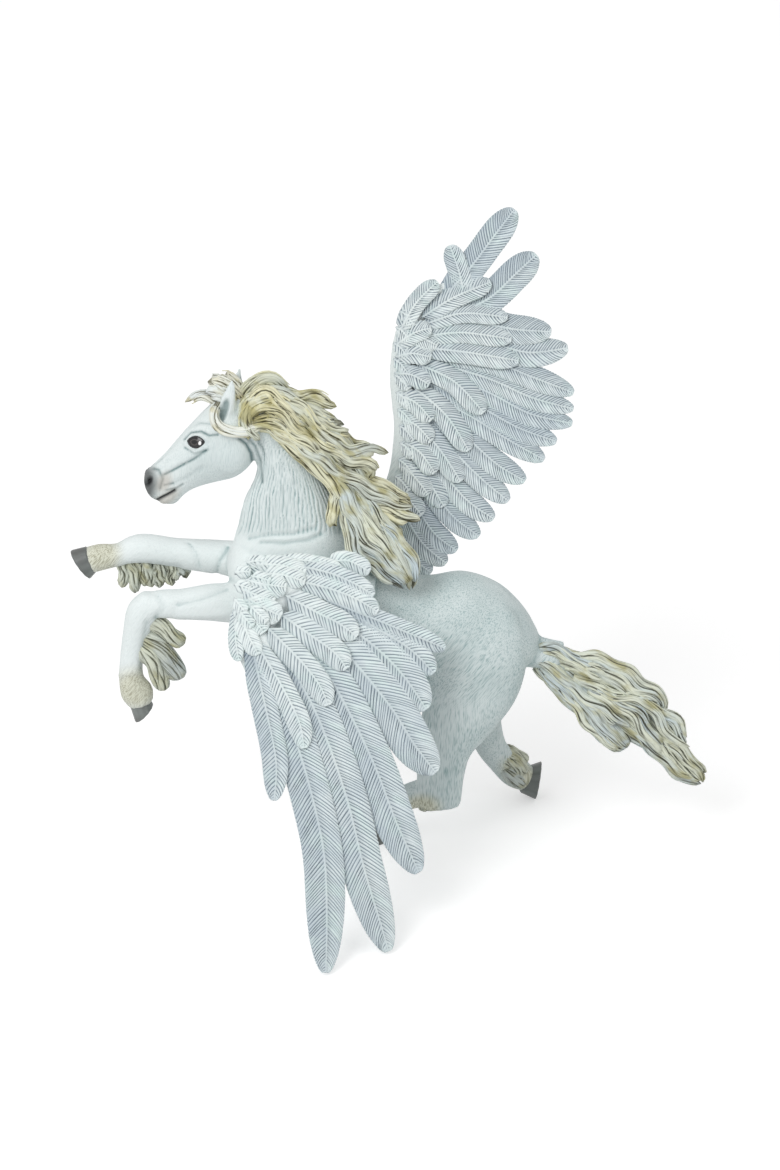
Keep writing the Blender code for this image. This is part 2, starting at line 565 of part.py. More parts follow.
def far_wing(mould):
    """The raised right wing, seen on its upper side."""
    reach = Reach((-2.0, 70.0), (31.3, 158.8), RAISED_WING_LENGTH)
    sheet = WingSheet(reach, 75.0, 8.0, 0.45, 0.0, 0.0)
    wing_arm(mould, "far_arm", sheet, [
        (-8.0, 64.0, 1.0, 2.2, 1.5), (-3.0, 76.0, 1.5, 2.0, 1.3), (3.0, 89.0, 1.4, 1.4, 1.0),
        (4.7, 103.0, 1.2, 1.2, 0.9), (3.4, 116.0, 1.0, 1.1, 0.8), (4.6, 127.0, 0.8, 1.1, 0.65),
        (9.5, 135.0, 0.6, 1.0, 0.5), (15.0, 139.0, 0.4, 0.7, 0.35),
    ])
    flight = [
        ([(13.0, 136.0), (20.5, 144.5), (26.5, 152.5), (31.3, 158.8)], 7.6, 0.6),
        ([(15.0, 131.5), (25.0, 136.5), (31.5, 142.5), (36.8, 147.4)], 8.0, 0.3),
        ([(12.0, 129.5), (22.0, 130.0), (32.0, 128.5), (40.6, 128.0)], 7.6, 0.1),
        ([(12.0, 126.0), (24.0, 125.0), (35.0, 122.8), (44.8, 124.0)], 7.6, 0.0),
        ([(10.0, 124.0), (24.0, 121.0), (36.0, 116.5), (46.2, 112.6)], 6.4, -0.1),
        ([(10.0, 121.0), (24.0, 116.5), (35.5, 111.5), (46.2, 108.6)], 6.0, -0.2),
        ([(9.0, 118.5), (23.0, 113.5), (35.0, 107.5), (45.9, 105.0)], 6.2, -0.3),
        ([(8.5, 116.0), (21.0, 110.0), (32.0, 104.0), (41.9, 100.4)], 6.4, -0.2),
        ([(8.0, 113.5), (19.0, 107.5), (29.5, 101.0), (38.8, 95.8)], 6.4, -0.1),
        ([(7.5, 110.5), (17.0, 103.5), (26.5, 95.0), (34.0, 90.5)], 6.6, 0.0),
        ([(7.0, 107.0), (15.0, 99.0), (22.5, 91.5), (29.8, 85.4)], 6.6, 0.1),
        ([(6.0, 102.5), (12.0, 94.5), (19.0, 86.0), (26.1, 81.0)], 6.4, 0.2),
        ([(5.0, 97.0), (9.5, 90.0), (15.5, 82.0), (22.4, 76.6)], 6.4, 0.3),
        ([(3.0, 92.0), (6.5, 84.5), (11.0, 77.5), (16.8, 73.0)], 6.2, 0.4),
        ([(0.5, 88.0), (4.5, 80.5), (8.5, 74.5), (14.2, 69.8)], 6.2, 0.6),
        ([(-2.0, 85.0), (2.0, 77.5), (5.5, 71.5), (10.4, 67.4)], 6.4, 0.8),
    ]
    for index, (knots, width, layer) in enumerate(flight):
        feather_form(mould, f"far_flight_{index + 1}", sheet, knots, width, layer, FLIGHT_THICKNESS, -SHINGLE_TILT)
    coverts = [
        ([(19.0, 134.5), (17.4, 142.5), (14.9, 149.7)], 5.4, 0.9),
        ([(8.0, 131.5), (16.0, 136.5), (25.4, 140.4)], 5.6, 1.4),
        ([(8.0, 129.5), (18.0, 132.5), (29.6, 131.5)], 5.0, 1.2),
        ([(7.5, 126.5), (18.0, 127.7), (30.6, 126.0)], 5.4, 1.2),
        ([(7.0, 124.0), (19.0, 122.8), (32.4, 120.6)], 6.0, 1.3),
        ([(6.5, 120.0), (16.0, 115.5), (23.6, 107.5)], 6.2, 1.3),
        ([(6.0, 114.0), (14.0, 107.0), (19.8, 98.0)], 6.2, 1.3),
        ([(5.5, 106.0), (12.0, 99.0), (17.8, 90.3)], 6.2, 1.3),
        ([(4.5, 98.0), (9.0, 91.5), (13.6, 84.0)], 5.8, 1.3),
    ]
    for index, (knots, width, layer) in enumerate(coverts):
        feather_form(mould, f"far_covert_{index + 1}", sheet, knots, width, layer, COVERT_THICKNESS, -SHINGLE_TILT)
    small = [
        ([(2.5, 128.0), (6.5, 135.0), (12.0, 140.5)], 5.0, 2.3),
        ([(1.5, 124.5), (6.0, 127.5), (10.4, 128.8)], 5.2, 2.4),
        ([(1.2, 121.5), (5.5, 122.4), (10.4, 121.4)], 5.2, 2.4),
        ([(1.0, 117.5), (5.5, 117.0), (9.9, 114.5)], 5.2, 2.4),
        ([(1.8, 112.0), (6.5, 110.0), (10.5, 105.6)], 5.4, 2.4),
        ([(2.8, 106.0), (6.5, 104.4), (10.4, 100.3)], 5.2, 2.4),
        ([(3.6, 100.0), (7.5, 97.6), (11.3, 92.4)], 5.4, 2.4),
        ([(3.0, 94.0), (6.0, 91.6), (9.6, 87.0)], 5.2, 2.4),
        ([(0.0, 89.5), (4.0, 86.4), (8.0, 81.8)], 5.2, 2.2),
    ]
    for index, (knots, width, layer) in enumerate(small):
        feather_form(mould, f"far_small_covert_{index + 1}", sheet, knots, width, layer, COVERT_THICKNESS,
                     -SHINGLE_TILT)


def mane(mould):
    """The mane blown back from the crest, the forelock and the strand under the ear."""
    near = -MANE_DEPTH
    tube_form(mould, "mane_mass", [
        (-36.0, 109.0, 0, 3.0, 2.8), (-31.0, 109.5, 0, 5.2, 4.4), (-24.0, 106.0, 0, 5.4, 4.8),
        (-16.0, 100.5, 0, 5.6, 4.6), (-10.0, 93.0, -1, 4.8, 4.2), (-6.0, 85.0, -3.2, 4.4, 3.9),
        (-3.0, 77.5, -6.6, 4.4, 3.1), (1.0, 70.5, -9.3, 3.4, 2.4), (5.0, 65.0, -11.0, 1.6, 1.4),
    ], 16, LEG_SIDES, "hair")
    crest_locks = [
        ([(-36.5, 110.5, 0), (-33.5, 114.6, 0), (-29.0, 114.4, 0), (-24.5, 111.3, 0), (-19.5, 110.8, 0),
          (-12.7, 109.2, 0)], 2.3),
        ([(-35.0, 109.0, -1), (-30.0, 112.0, -2), (-25.5, 108.8, -2.5), (-20.0, 108.2, -1.5), (-15.0, 105.0, -0.5),
          (-10.6, 104.6, 0)], 2.9),
        ([(-22.0, 103.5, 0), (-14.0, 97.0, 0), (-8.0, 89.0, 0), (-3.0, 82.0, near * 0.5), (2.0, 76.0, near)], 5.0),
        ([(-11.0, 90.0, near), (-8.4, 82.0, near * 1.4), (-7.0, 74.6, near * 1.7), (-2.4, 69.2, near * 2.0),
          (3.6, 64.9, near * 2.2)], 2.6),
        ([(-9.0, 90.0, near * 0.8), (-2.0, 82.0, near), (3.0, 75.5, near * 1.4), (5.4, 70.0, near * 1.7),
          (6.4, 65.0, near * 1.9)], 2.9),
        ([(-11.0, 89.5, near), (-12.4, 85.0, near * 1.3), (-14.0, 81.0, near * 1.45), (-13.4, 78.9, near * 1.5)], 1.6),
        ([(-6.0, 90.0, near * 0.6), (0.0, 84.0, near * 0.7), (4.5, 80.3, near * 0.8), (8.2, 78.4, near)], 2.4),
        ([(-13.0, 93.5, near), (-8.6, 86.4, near * 1.2), (-5.6, 79.6, near * 1.5), (-1.6, 72.4, near * 1.9),
          (2.4, 68.6, near * 2.0), (6.0, 63.0, near * 2.1)], 3.6),
    ]
    for index, (knots, half_width) in enumerate(crest_locks):
        lock_form(mould, f"mane_lock_{index + 1}", knots, half_width, stations=9)
    side_locks = [
        ([(-32.0, 108.0, 0.9), (-26.5, 108.6, 1.0), (-22.0, 104.0, 1.0), (-15.5, 102.4, 0.8), (-9.5, 98.6, 0.5),
          (-4.0, 98.4, 0.2), (0.5, 97.2, 0.0)], 2.8),
        ([(-33.0, 104.6, 1.0), (-27.0, 105.0, 1.1), (-21.5, 100.8, 1.1), (-15.0, 98.6, 1.0), (-9.0, 95.6, 0.8),
          (-3.0, 93.6, 0.6)], 2.7),
        ([(-35.0, 102.8, 1.0), (-28.5, 101.8, 1.1), (-22.5, 99.4, 1.1), (-17.0, 95.6, 1.1), (-10.5, 92.6, 1.0),
          (-4.0, 88.4, 1.0), (2.0, 84.6, 1.0), (8.0, 81.3, 1.0)], 2.6),
    ]
    for index, (knots, half_width) in enumerate(side_locks):
        for side, word in ((near, "near"), (-near, "far")):
            path = [(x, rise, side * share) for x, rise, share in knots]
            lock_form(mould, f"{word}_side_lock_{index + 1}", path, half_width, stations=10)
    lock_form(mould, "forelock", [(-36.0, 109.0, 0), (-39.5, 113.5, -0.5), (-44.0, 115.4, -1)], 4.3, stations=6)
    lock_form(mould, "forelock_under", [(-38.0, 107.0, 0), (-42.5, 111.0, -1), (-45.5, 113.2, -1)], 3.6, stations=6)
    lock_form(mould, "forelock_strand", [(-40.0, 108.8, -1), (-46.0, 110.4, -1.5), (-51.4, 109.8, -1.5)], 1.5,
              stations=6)
    lock_form(mould, "ear_strand", [(-32.0, 103.5, near), (-38.0, 102.4, near * 1.3), (-43.5, 103.0, near * 1.2),
                                    (-45.6, 106.3, near * 0.8)], 1.5, stations=7)


def tail(mould):
    """The dock and the locks of the streaming tail."""
    spread = TAIL_HALF_DEPTH
    reach = Reach((36.0, 48.0), (79.6, 14.6), TAIL_LENGTH)
    tube_form(mould, "dock", [(33.0, 48.6, 0, 4.5, 4.0), (38.5, 47.3, 0, 4.1, 3.6), (43.0, 46.5, 0, 4.0, 3.4)], 5,
              LEG_SIDES)
    tube_form(mould, "tail_mass", reach.places([
        (37.0, 47.3, 0, 3.0, 2.6), (44.0, 44.8, 0, 4.2, 3.2), (52.0, 39.6, 0, 6.2, 3.8), (60.0, 34.0, 0, 6.4, 4.0),
        (67.0, 28.6, 0, 5.4, 3.6), (73.0, 21.8, 0, 3.2, 2.6), (78.4, 15.6, 0, 1.3, 1.2),
    ]), 13, LEG_SIDES, "hair")
    locks = [
        ([(36.0, 48.8, 0), (44.0, 46.8, 0), (52.0, 44.6, 0), (61.0, 40.4, 0), (69.4, 36.6, 0)], 3.8),
        ([(36.0, 46.0, 0), (43.0, 42.2, -0.5), (49.0, 36.0, -1), (55.6, 29.0, -1), (59.4, 22.4, -0.8)], 3.8),
        ([(37.0, 47.2, -0.3), (45.0, 44.4, -1), (53.0, 37.4, -1.2), (61.5, 32.6, -1.2), (68.0, 24.0, -1),
          (74.0, 20.4, -0.6), (79.6, 14.6, 0)], 3.8),
        ([(40.0, 47.0, -0.5), (48.0, 43.4, -1.1), (56.5, 40.4, -1.2), (64.0, 33.4, -1.1), (70.0, 30.4, -0.7),
          (74.2, 24.8, 0)], 3.2),
        ([(41.0, 44.0, 1), (50.0, 36.6, 1.2), (58.0, 30.6, 1.2), (66.0, 24.0, 1), (77.0, 18.4, 0)], 4.2),
        ([(40.0, 46.6, 0.6), (50.0, 42.6, 1.1), (60.0, 38.4, 1.2), (68.0, 31.2, 1), (74.0, 26.6, 0.2)], 3.8),
    ]
    for index, (knots, half_width) in enumerate(locks):
        path = [(x, rise, spread * share) for x, rise, share in reach.places(knots)]
        lock_form(mould, f"tail_lock_{index + 1}", path, half_width, stations=10)


def islands(shell):
    """Splits a mesh's faces into groups that hang together."""
    unseen = set(shell.faces)
    while unseen:
        group = [unseen.pop()]
        for face in group:
            for edge in face.edges:
                for neighbour in edge.link_faces:
                    if neighbour in unseen:
                        unseen.remove(neighbour)
                        group.append(neighbour)
        yield group


def enclosed(group):
    """Six times the volume that a closed group of faces encloses."""
    total = 0.0
    for face in group:
        first = face.verts[0].co
        for left, right in zip(face.verts[1:], face.verts[2:]):
            total += first.dot(left.co.cross(right.co))
    return total


def join(name, heap):
    """Melts the forms of a heap into one closed mesh, with no void left inside."""
    forms = list(heap.objects)
    first = forms[0]
    joined = bpy.data.objects.new(name, first.data.copy())
    bpy.context.scene.collection.objects.link(joined)
    heap.objects.unlink(first)
    union = joined.modifiers.new("forms", "BOOLEAN")
    union.operation = "UNION"
    union.operand_type = "COLLECTION"
    union.collection = heap
    union.solver = "EXACT"
    union.material_mode = "TRANSFER"
    bake(joined)
    for form in forms:
        bpy.data.objects.remove(form)
    bpy.data.collections.remove(heap)
    shell = bmesh.new()
    shell.from_mesh(joined.data)
    inner = [face for group in islands(shell) if enclosed(group) < VOID_LIMIT for face in group]
    bmesh.ops.delete(shell, geom=inner, context="FACES")
    bmesh.ops.triangulate(shell, faces=shell.faces)
    shell.to_mesh(joined.data)
    shell.free()
    return joined


def bake(form):
    """Turns what an object's modifiers make into its own mesh."""
    depsgraph = bpy.context.evaluated_depsgraph_get()
    form.data = bpy.data.meshes.new_from_object(form.evaluated_get(depsgraph))
    form.modifiers.clear()


def thin_out(form, limit):
    """Collapses the smallest facets of a form until it has no more than the limit."""
    count = sum(len(face.vertices) - 2 for face in form.data.polygons)
    if count > limit:
        thin = form.modifiers.new("fewer facets", "DECIMATE")
        thin.ratio = limit / count
        thin.use_collapse_triangulate = True
        bake(form)


def sculpt(flesh):
    """Blends the joined flesh forms into one smooth skin with few facets."""
    remesh = flesh.modifiers.new("even grain", "REMESH")
    remesh.mode = "VOXEL"
    remesh.voxel_size = FLESH_GRAIN * MM
    smooth = flesh.modifiers.new("soften", "SMOOTH")
    smooth.factor = 0.5
    smooth.iterations = SOFTEN_PASSES
    bake(flesh)
    thin_out(flesh, FLESH_FACETS)


def centre(figure):
    """Moves the figure level, so that the middle of its box stands over the origin."""
    spots = [corner.co for corner in figure.data.vertices]
    middle_x = (min(spot.x for spot in spots) + max(spot.x for spot in spots)) / 2
    middle_y = (min(spot.y for spot in spots) + max(spot.y for spot in spots)) / 2
    figure.data.transform(Matrix.Translation((-middle_x, -middle_y, 0)))


def main():
    """Models the figurine."""
    for old in list(bpy.data.objects):
        bpy.data.objects.remove(old)
    mould = Mould()
    trunk(mould)
    neck(mould)
    head(mould)
    face(mould)
    ears(mould)
    forelegs(mould)
    hindlegs(mould)
    fetlock_hair(mould)
    near_wing(mould)
    far_wing(mould)
    mane(mould)
    tail(mould)
    flesh = join("flesh_form", mould.flesh)
    sculpt(flesh)
    bpy.context.scene.collection.objects.unlink(flesh)
    mould.trim.objects.link(flesh)
    figure = join("pegasus_figurine", mould.trim)
    thin_out(figure, FIGURE_FACETS)
    centre(figure)
    figure.data.shade_smooth()
    figure.data.set_sharp_from_angle(angle=math.radians(SHARP_ANGLE))


main()
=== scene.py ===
"""Dresses the winged horse figurine in its painted vinyl finishes.

The figure is drawn in millimetres on a sheet that leans back from the viewer. A place on
it is (x, rise, depth): x runs from head to tail, rise goes up the leaning sheet, and depth
is the level distance away from the viewer. The solid was set out on the same sheet.
"""

from __future__ import annotations

import bisect
import logging
import math
import random
from dataclasses import dataclass, field
from enum import Enum
from typing import Sequence

import bmesh
import bpy
import numpy as np
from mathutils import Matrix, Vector
from mathutils.bvhtree import BVHTree

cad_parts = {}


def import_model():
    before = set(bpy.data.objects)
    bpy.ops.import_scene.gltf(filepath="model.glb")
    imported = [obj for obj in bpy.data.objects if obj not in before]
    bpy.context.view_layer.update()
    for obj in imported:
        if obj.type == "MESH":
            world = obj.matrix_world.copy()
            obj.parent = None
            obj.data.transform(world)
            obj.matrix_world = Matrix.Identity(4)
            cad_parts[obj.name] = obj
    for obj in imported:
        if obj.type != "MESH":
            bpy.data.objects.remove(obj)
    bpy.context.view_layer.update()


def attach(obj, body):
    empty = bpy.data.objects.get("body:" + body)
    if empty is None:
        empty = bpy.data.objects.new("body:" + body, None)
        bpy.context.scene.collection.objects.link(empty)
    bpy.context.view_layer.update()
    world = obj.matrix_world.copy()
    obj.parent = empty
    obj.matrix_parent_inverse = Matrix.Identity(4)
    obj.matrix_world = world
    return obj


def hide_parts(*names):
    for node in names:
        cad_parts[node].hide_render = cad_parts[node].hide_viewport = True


log = logging.getLogger("figurine")

MM = 0.001
NODE = "pegasus_figurine"
CURVE_STEPS = 12
VINYL_SHEEN = 0.35
STRAND_SIDES = 6
FORELEG_DEPTH = 8.5
TOE_DEPTH = 24.5
MOUTH_LINE = ((-59.2, 84.9), (-57.6, 85.6), (-53.4, 87.8))

Place = tuple[float, ...]
Colour = tuple[float, float, float]
Socket = bpy.types.NodeSocket
Piece = bpy.types.Object
Finish = bpy.types.Material


class Side(Enum):
    """The two sides of the horse, by the sign of their depth."""

    NEAR = -1
    FAR = 1


@dataclass(frozen=True)
class DrawingSheet:
    """The leaning sheet that the figure is drawn on."""

    lean: float = math.radians(25.0)
    stance_depth: float = 1.0
    shift_x: float = -0.03
    shift_y: float = 14.03

    def place(self, x: float, rise: float, depth: float) -> Vector:
        """Turns a place on the sheet into a point.

        Args:
            x: millimetres from head to tail.
            rise: millimetres up the sheet.
            depth: millimetres away from the viewer.

        Returns:
            The point in metres, in the row's frame.
        """
        height = (rise - (depth - self.stance_depth) * math.sin(self.lean)) / math.cos(self.lean)
        return Vector((x + self.shift_x, depth + self.shift_y, height)) * MM

    def read(self, points: np.ndarray) -> np.ndarray:
        """Turns points back into places on the sheet.

        Args:
            points: rows of x, y and z in metres.

        Returns:
            Rows of x, rise and depth in millimetres.
        """
        spots = points / MM
        depth = spots[:, 1] - self.shift_y
        rise = spots[:, 2] * math.cos(self.lean) + (depth - self.stance_depth) * math.sin(self.lean)
        return np.stack([spots[:, 0] - self.shift_x, rise, depth], axis=1)

    def mirrored(self, points: np.ndarray) -> np.ndarray:
        """Turns points of one side of the horse into their twins on the other.

        Args:
            points: x, y and z in metres, along the last axis.

        Returns:
            The mirrored points, in an array of the same shape.
        """
        twins = points.copy()
        twins[..., 1] = 2 * self.shift_y * MM - twins[..., 1]
        return twins

    def depth_above_floor(self, rise: float, height: float) -> float:
        """Finds where a rise of the sheet lies at a height above the floor.

        Args:
            rise: millimetres up the sheet.
            height: millimetres above the floor.

        Returns:
            The depth in millimetres.
        """
        return self.stance_depth + (rise - height * math.cos(self.lean)) / math.sin(self.lean)


SHEET = DrawingSheet()


def spline(knots: Sequence[Place], shares: Sequence[float]) -> list[Place]:
    """Reads places at the given shares of the length of a smooth curve.

    Args:
        knots: the places that the curve passes through.
        shares: shares of the curve's drawn length, from 0 to 1.

    Returns:
        One place for each share.
    """
    ends = [knots[0], *knots, knots[-1]]
    fine = []
    for span in range(len(knots) - 1):
        for step in range(CURVE_STEPS):
            t = step / CURVE_STEPS
            fine.append(tuple(
                0.5 * (2 * b + (c - a) * t + (2 * a - 5 * b + 4 * c - d) * t * t
                       + (3 * b - a - 3 * c + d) * t ** 3)
                for a, b, c, d in zip(*ends[span:span + 4])))
    fine.append(tuple(knots[-1]))
    lengths = [0.0]
    for here, there in zip(fine, fine[1:]):
        lengths.append(lengths[-1] + math.dist(here[:2], there[:2]))
    places = []
    for share in shares:
        goal = share * lengths[-1]
        step = min(max(bisect.bisect_left(lengths, goal), 1), len(fine) - 1)
        part_way = (goal - lengths[step - 1]) / max(lengths[step] - lengths[step - 1], 1e-9)
        places.append(tuple(a + (b - a) * part_way for a, b in zip(fine[step - 1], fine[step])))
    return places


def unit_rows(rows: np.ndarray) -> np.ndarray:
    """Scales each row of an array to a length of one."""
    return rows / np.maximum(np.linalg.norm(rows, axis=-1, keepdims=True), 1e-12)


def smooth_step(values: np.ndarray, low: float, high: float) -> np.ndarray:
    """Rises smoothly from 0 at low to 1 at high."""
    t = np.clip((values - low) / (high - low), 0.0, 1.0)
    return t * t * (3 - 2 * t)


def circle(sides: int) -> np.ndarray:
    """Angles once round a ring."""
    return np.linspace(0.0, 2 * math.pi, sides, endpoint=False)


def distance_to_path(spots: np.ndarray, path: Sequence[Place]) -> np.ndarray:
    """Measures how far each spot of the sheet lies from a drawn line.

    Args:
        spots: rows of x and rise.
        path: the line's places, x and rise.

    Returns:
        One distance in millimetres for each spot.
    """
    nearest = np.full(len(spots), 1e9)
    for start, end in zip(path, path[1:]):
        a, b = np.array(start[:2]), np.array(end[:2])
        along = np.clip((spots - a) @ (b - a) / max((b - a) @ (b - a), 1e-9), 0.0, 1.0)
        nearest = np.minimum(nearest, np.linalg.norm(spots - a - along[:, None] * (b - a), axis=1))
    return nearest


def frames_along(knots: Sequence[Place], stations: int) -> tuple[np.ndarray, ...]:
    """Reads a line's points and the two directions across it.

    Args:
        knots: places of x, rise and depth, with more numbers after them if wanted.
        stations: how many to read.

    Returns:
        The read places, the points, and unit rows across the line in the picture plane and in depth.
    """
    reads = np.array(spline(knots, np.linspace(0.0, 1.0, stations)))
    centres = np.array([SHEET.place(*row[:3]) for row in reads])
    along = unit_rows(np.gradient(centres, axis=0))
    deep = unit_rows(np.array([0.0, 1.0, 0.0]) - along * along[:, 1:2])
    return reads, centres, np.cross(along, deep), deep


class Graph:
    """Adds nodes to a tree and links them by the names of their sockets."""

    def __init__(self, tree: bpy.types.NodeTree) -> None:
        self.tree = tree

    def add(self, kind: str, settings: dict | None = None, inputs: dict | None = None) -> bpy.types.Node:
        """Adds one node.

        Args:
            kind: Blender's name for the node.
            settings: the node's own properties.
            inputs: values or sockets for its inputs, by name or number.

        Returns:
            The new node.
        """
        node = self.tree.nodes.new(kind)
        for key, value in (settings or {}).items():
            setattr(node, key, value)
        for key, value in (inputs or {}).items():
            if isinstance(value, Socket):
                self.tree.links.new(value, node.inputs[key])
            else:
                node.inputs[key].default_value = value
        return node

    def math(self, operation: str, *values: float | Socket) -> Socket:
        """Adds a Math node and returns its result."""
        node = self.add("ShaderNodeMath", {"operation": operation}, dict(enumerate(values)))
        return node.outputs[0]

    def mix(self, share: float | Socket, low: tuple | Socket,
            high: tuple | Socket) -> Socket:
        """Blends two colours.

        Args:
            share: how much of the second colour, from 0 to 1.
            low: the first colour, or its socket.
            high: the second colour, or its socket.

        Returns:
            The blended colour's socket.
        """
        def rgba(value: tuple | Socket) -> tuple | Socket:
            return value if isinstance(value, Socket) else (*value, 1.0)

        node = self.add("ShaderNodeMix", {"data_type": "RGBA"}, {0: share, 6: rgba(low), 7: rgba(high)})
        return node.outputs[2]

    def link(self, source: Socket, target: Socket) -> None:
        """Links one socket to another."""
        self.tree.links.new(source, target)

    def clamp(self, value: Socket) -> Socket:
        """Holds a number between 0 and 1."""
        return self.math("MINIMUM", self.math("MAXIMUM", value, 0.0), 1.0)

    def seen_directly(self) -> Socket:
        """Tells the rays that show a surface as itself from those that only light others.

        Returns:
            A socket that is 1 for the camera's, glossy and transmitted rays, and 0 for the rest.
        """
        path = self.add("ShaderNodeLightPath").outputs
        glossy = self.math("MAXIMUM", path["Is Camera Ray"], path["Is Glossy Ray"])
        return self.math("MAXIMUM", glossy, path["Is Transmission Ray"])

    def seeded_noise(self, seed: Socket, cells: float) -> bpy.types.Node:
        """Adds noise that changes with a seed, at a number of cells to a metre."""
        return self.add("ShaderNodeTexNoise", {"noise_dimensions": "4D"},
                        {"W": seed, "Scale": cells, "Detail": 1.0})

    def bump(self, shader: bpy.types.Node, height: Socket, distance: float) -> None:
        """Shades a surface as if it had fine relief.

        Args:
            shader: the surface's shader.
            height: the relief, as a number without a unit.
            distance: metres that a height of one stands for.
        """
        bump = self.add("ShaderNodeBump", None, {"Height": height, "Strength": 1.0, "Distance": distance})
        self.link(bump.outputs[0], shader.inputs["Normal"])

    def dress(self, geometry: Socket, finish: Socket) -> None:
        """Makes a tree's geometry real, gives it its material and hands it out.

        Args:
            geometry: the finished geometry.
            finish: the tree's material input.
        """
        real = self.add("GeometryNodeRealizeInstances", None, {"Geometry": geometry})
        dressed = self.add("GeometryNodeSetMaterial", None, {"Geometry": real.outputs[0], "Material": finish})
        self.add("NodeGroupOutput", None, {"Geometry": dressed.outputs[0]})

    def attribute(self, name: str) -> Socket:
        """Reads one of the piece's own attributes as a number, in a material."""
        return self.add("ShaderNodeAttribute", {"attribute_name": name}).outputs["Fac"]

    def strands(self, across: float, along: float) -> Socket:
        """Adds fine noise drawn out along a piece's own forms.

        Args:
            across: noise cells to a millimetre round the form.
            along: noise cells to a millimetre along it.

        Returns:
            The noise's socket.
        """
        place = self.add("ShaderNodeCombineXYZ", None, {
            "X": self.math("MULTIPLY", self.attribute("lane"), across),
            "Y": self.math("MULTIPLY", self.attribute("run"), along)})
        noise = self.add("ShaderNodeTexNoise", None, {"Vector": place.outputs[0], "Scale": 1.0,
                                                      "Detail": 2.0})
        return noise.outputs[0]

    def grain(self, turn: float, across: float, along: float, detail: float = 2.0) -> Socket:
        """Adds streaky noise on the object's coordinates.

        Args:
            turn: the streaks' slope in the picture plane, in degrees.
            across: noise cells to a metre across the streaks.
            along: noise cells to a metre along them.
            detail: the noise's octaves.

        Returns:
            The noise value's socket.
        """
        spots = self.add("ShaderNodeTexCoord").outputs["Object"]
        turned = self.add("ShaderNodeMapping", None, {"Vector": spots,
                                                      "Rotation": (0.0, math.radians(turn), 0.0)})
        drawn = self.add("ShaderNodeMapping", None, {"Vector": turned.outputs[0],
                                                     "Scale": (along, across, across)})
        noise = self.add("ShaderNodeTexNoise", None, {"Vector": drawn.outputs[0], "Scale": 1.0,
                                                      "Detail": detail})
        return noise.outputs[0]


def start_finish(name: str, roughness: float,
                 sheen: float = 0.5) -> tuple[Finish, Graph, bpy.types.Node]:
    """Makes a material with a plain shader.

    Args:
        name: the material's name.
        roughness: the shader's roughness.
        sheen: how strongly it mirrors, from 0 to 1.

    Returns:
        The material, its graph and its shader.
    """
    made = bpy.data.materials.new(name)
    made.use_nodes = True
    shader = made.node_tree.nodes["Principled BSDF"]
    shader.inputs["Roughness"].default_value = roughness
    shader.inputs["Specular IOR Level"].default_value = sheen
    return made, Graph(made.node_tree), shader


@dataclass(frozen=True)
class PaintedVinyl:
    """Vinyl under brush-stroked colour, darkened with painted shade in its recesses and grooves."""

    name: str
    raised: Colour
    recess: Colour
    tint: Colour
    # The colour of the random stained patches.
    stain_and_shade: Colour
    roughness: float
    streak_turn: float = 0.0
    streak_height: float = 0.00004
    strand_strength: float = 0.0

    def material(self) -> Finish:
        """Makes the finish.

        Returns:
            A material that reads the piece's recess, tone, lane and run attributes.
        """
        made, graph, shader = start_finish(self.name, self.roughness, VINYL_SHEEN)
        cloudy = graph.grain(20.0, 160.0, 90.0)
        tone = graph.math("MULTIPLY_ADD", graph.math("SUBTRACT", cloudy, 0.42), 1.6, graph.attribute("tone"))
        body = graph.mix(graph.clamp(tone), self.raised, self.tint)
        patches = graph.add("ShaderNodeMapRange", None, {
            "Value": graph.grain(-40.0, 330.0, 140.0, 3.0), "From Min": 0.50, "From Max": 0.66,
            "To Max": 0.75})
        stained = graph.mix(patches.outputs[0], body, self.stain_and_shade)
        # Painted shade: the recess attribute and the gaps between the strands darken the colour towards the
        # recess colour.
        sunk, height = graph.attribute("recess"), graph.grain(self.streak_turn, 2600.0, 420.0)
        if self.strand_strength:
            lines = graph.strands(3.4, 0.18)
            height = graph.math("MULTIPLY_ADD", lines, 4.0, height)
            gap = graph.math("MULTIPLY", graph.math("SUBTRACT", 0.5, lines), self.strand_strength)
            sunk = graph.math("ADD", sunk, gap)
        sunk = graph.clamp(sunk)
        graph.link(graph.mix(sunk, stained, self.recess), shader.inputs["Base Color"])
        graph.bump(shader, height, self.streak_height)
        return made


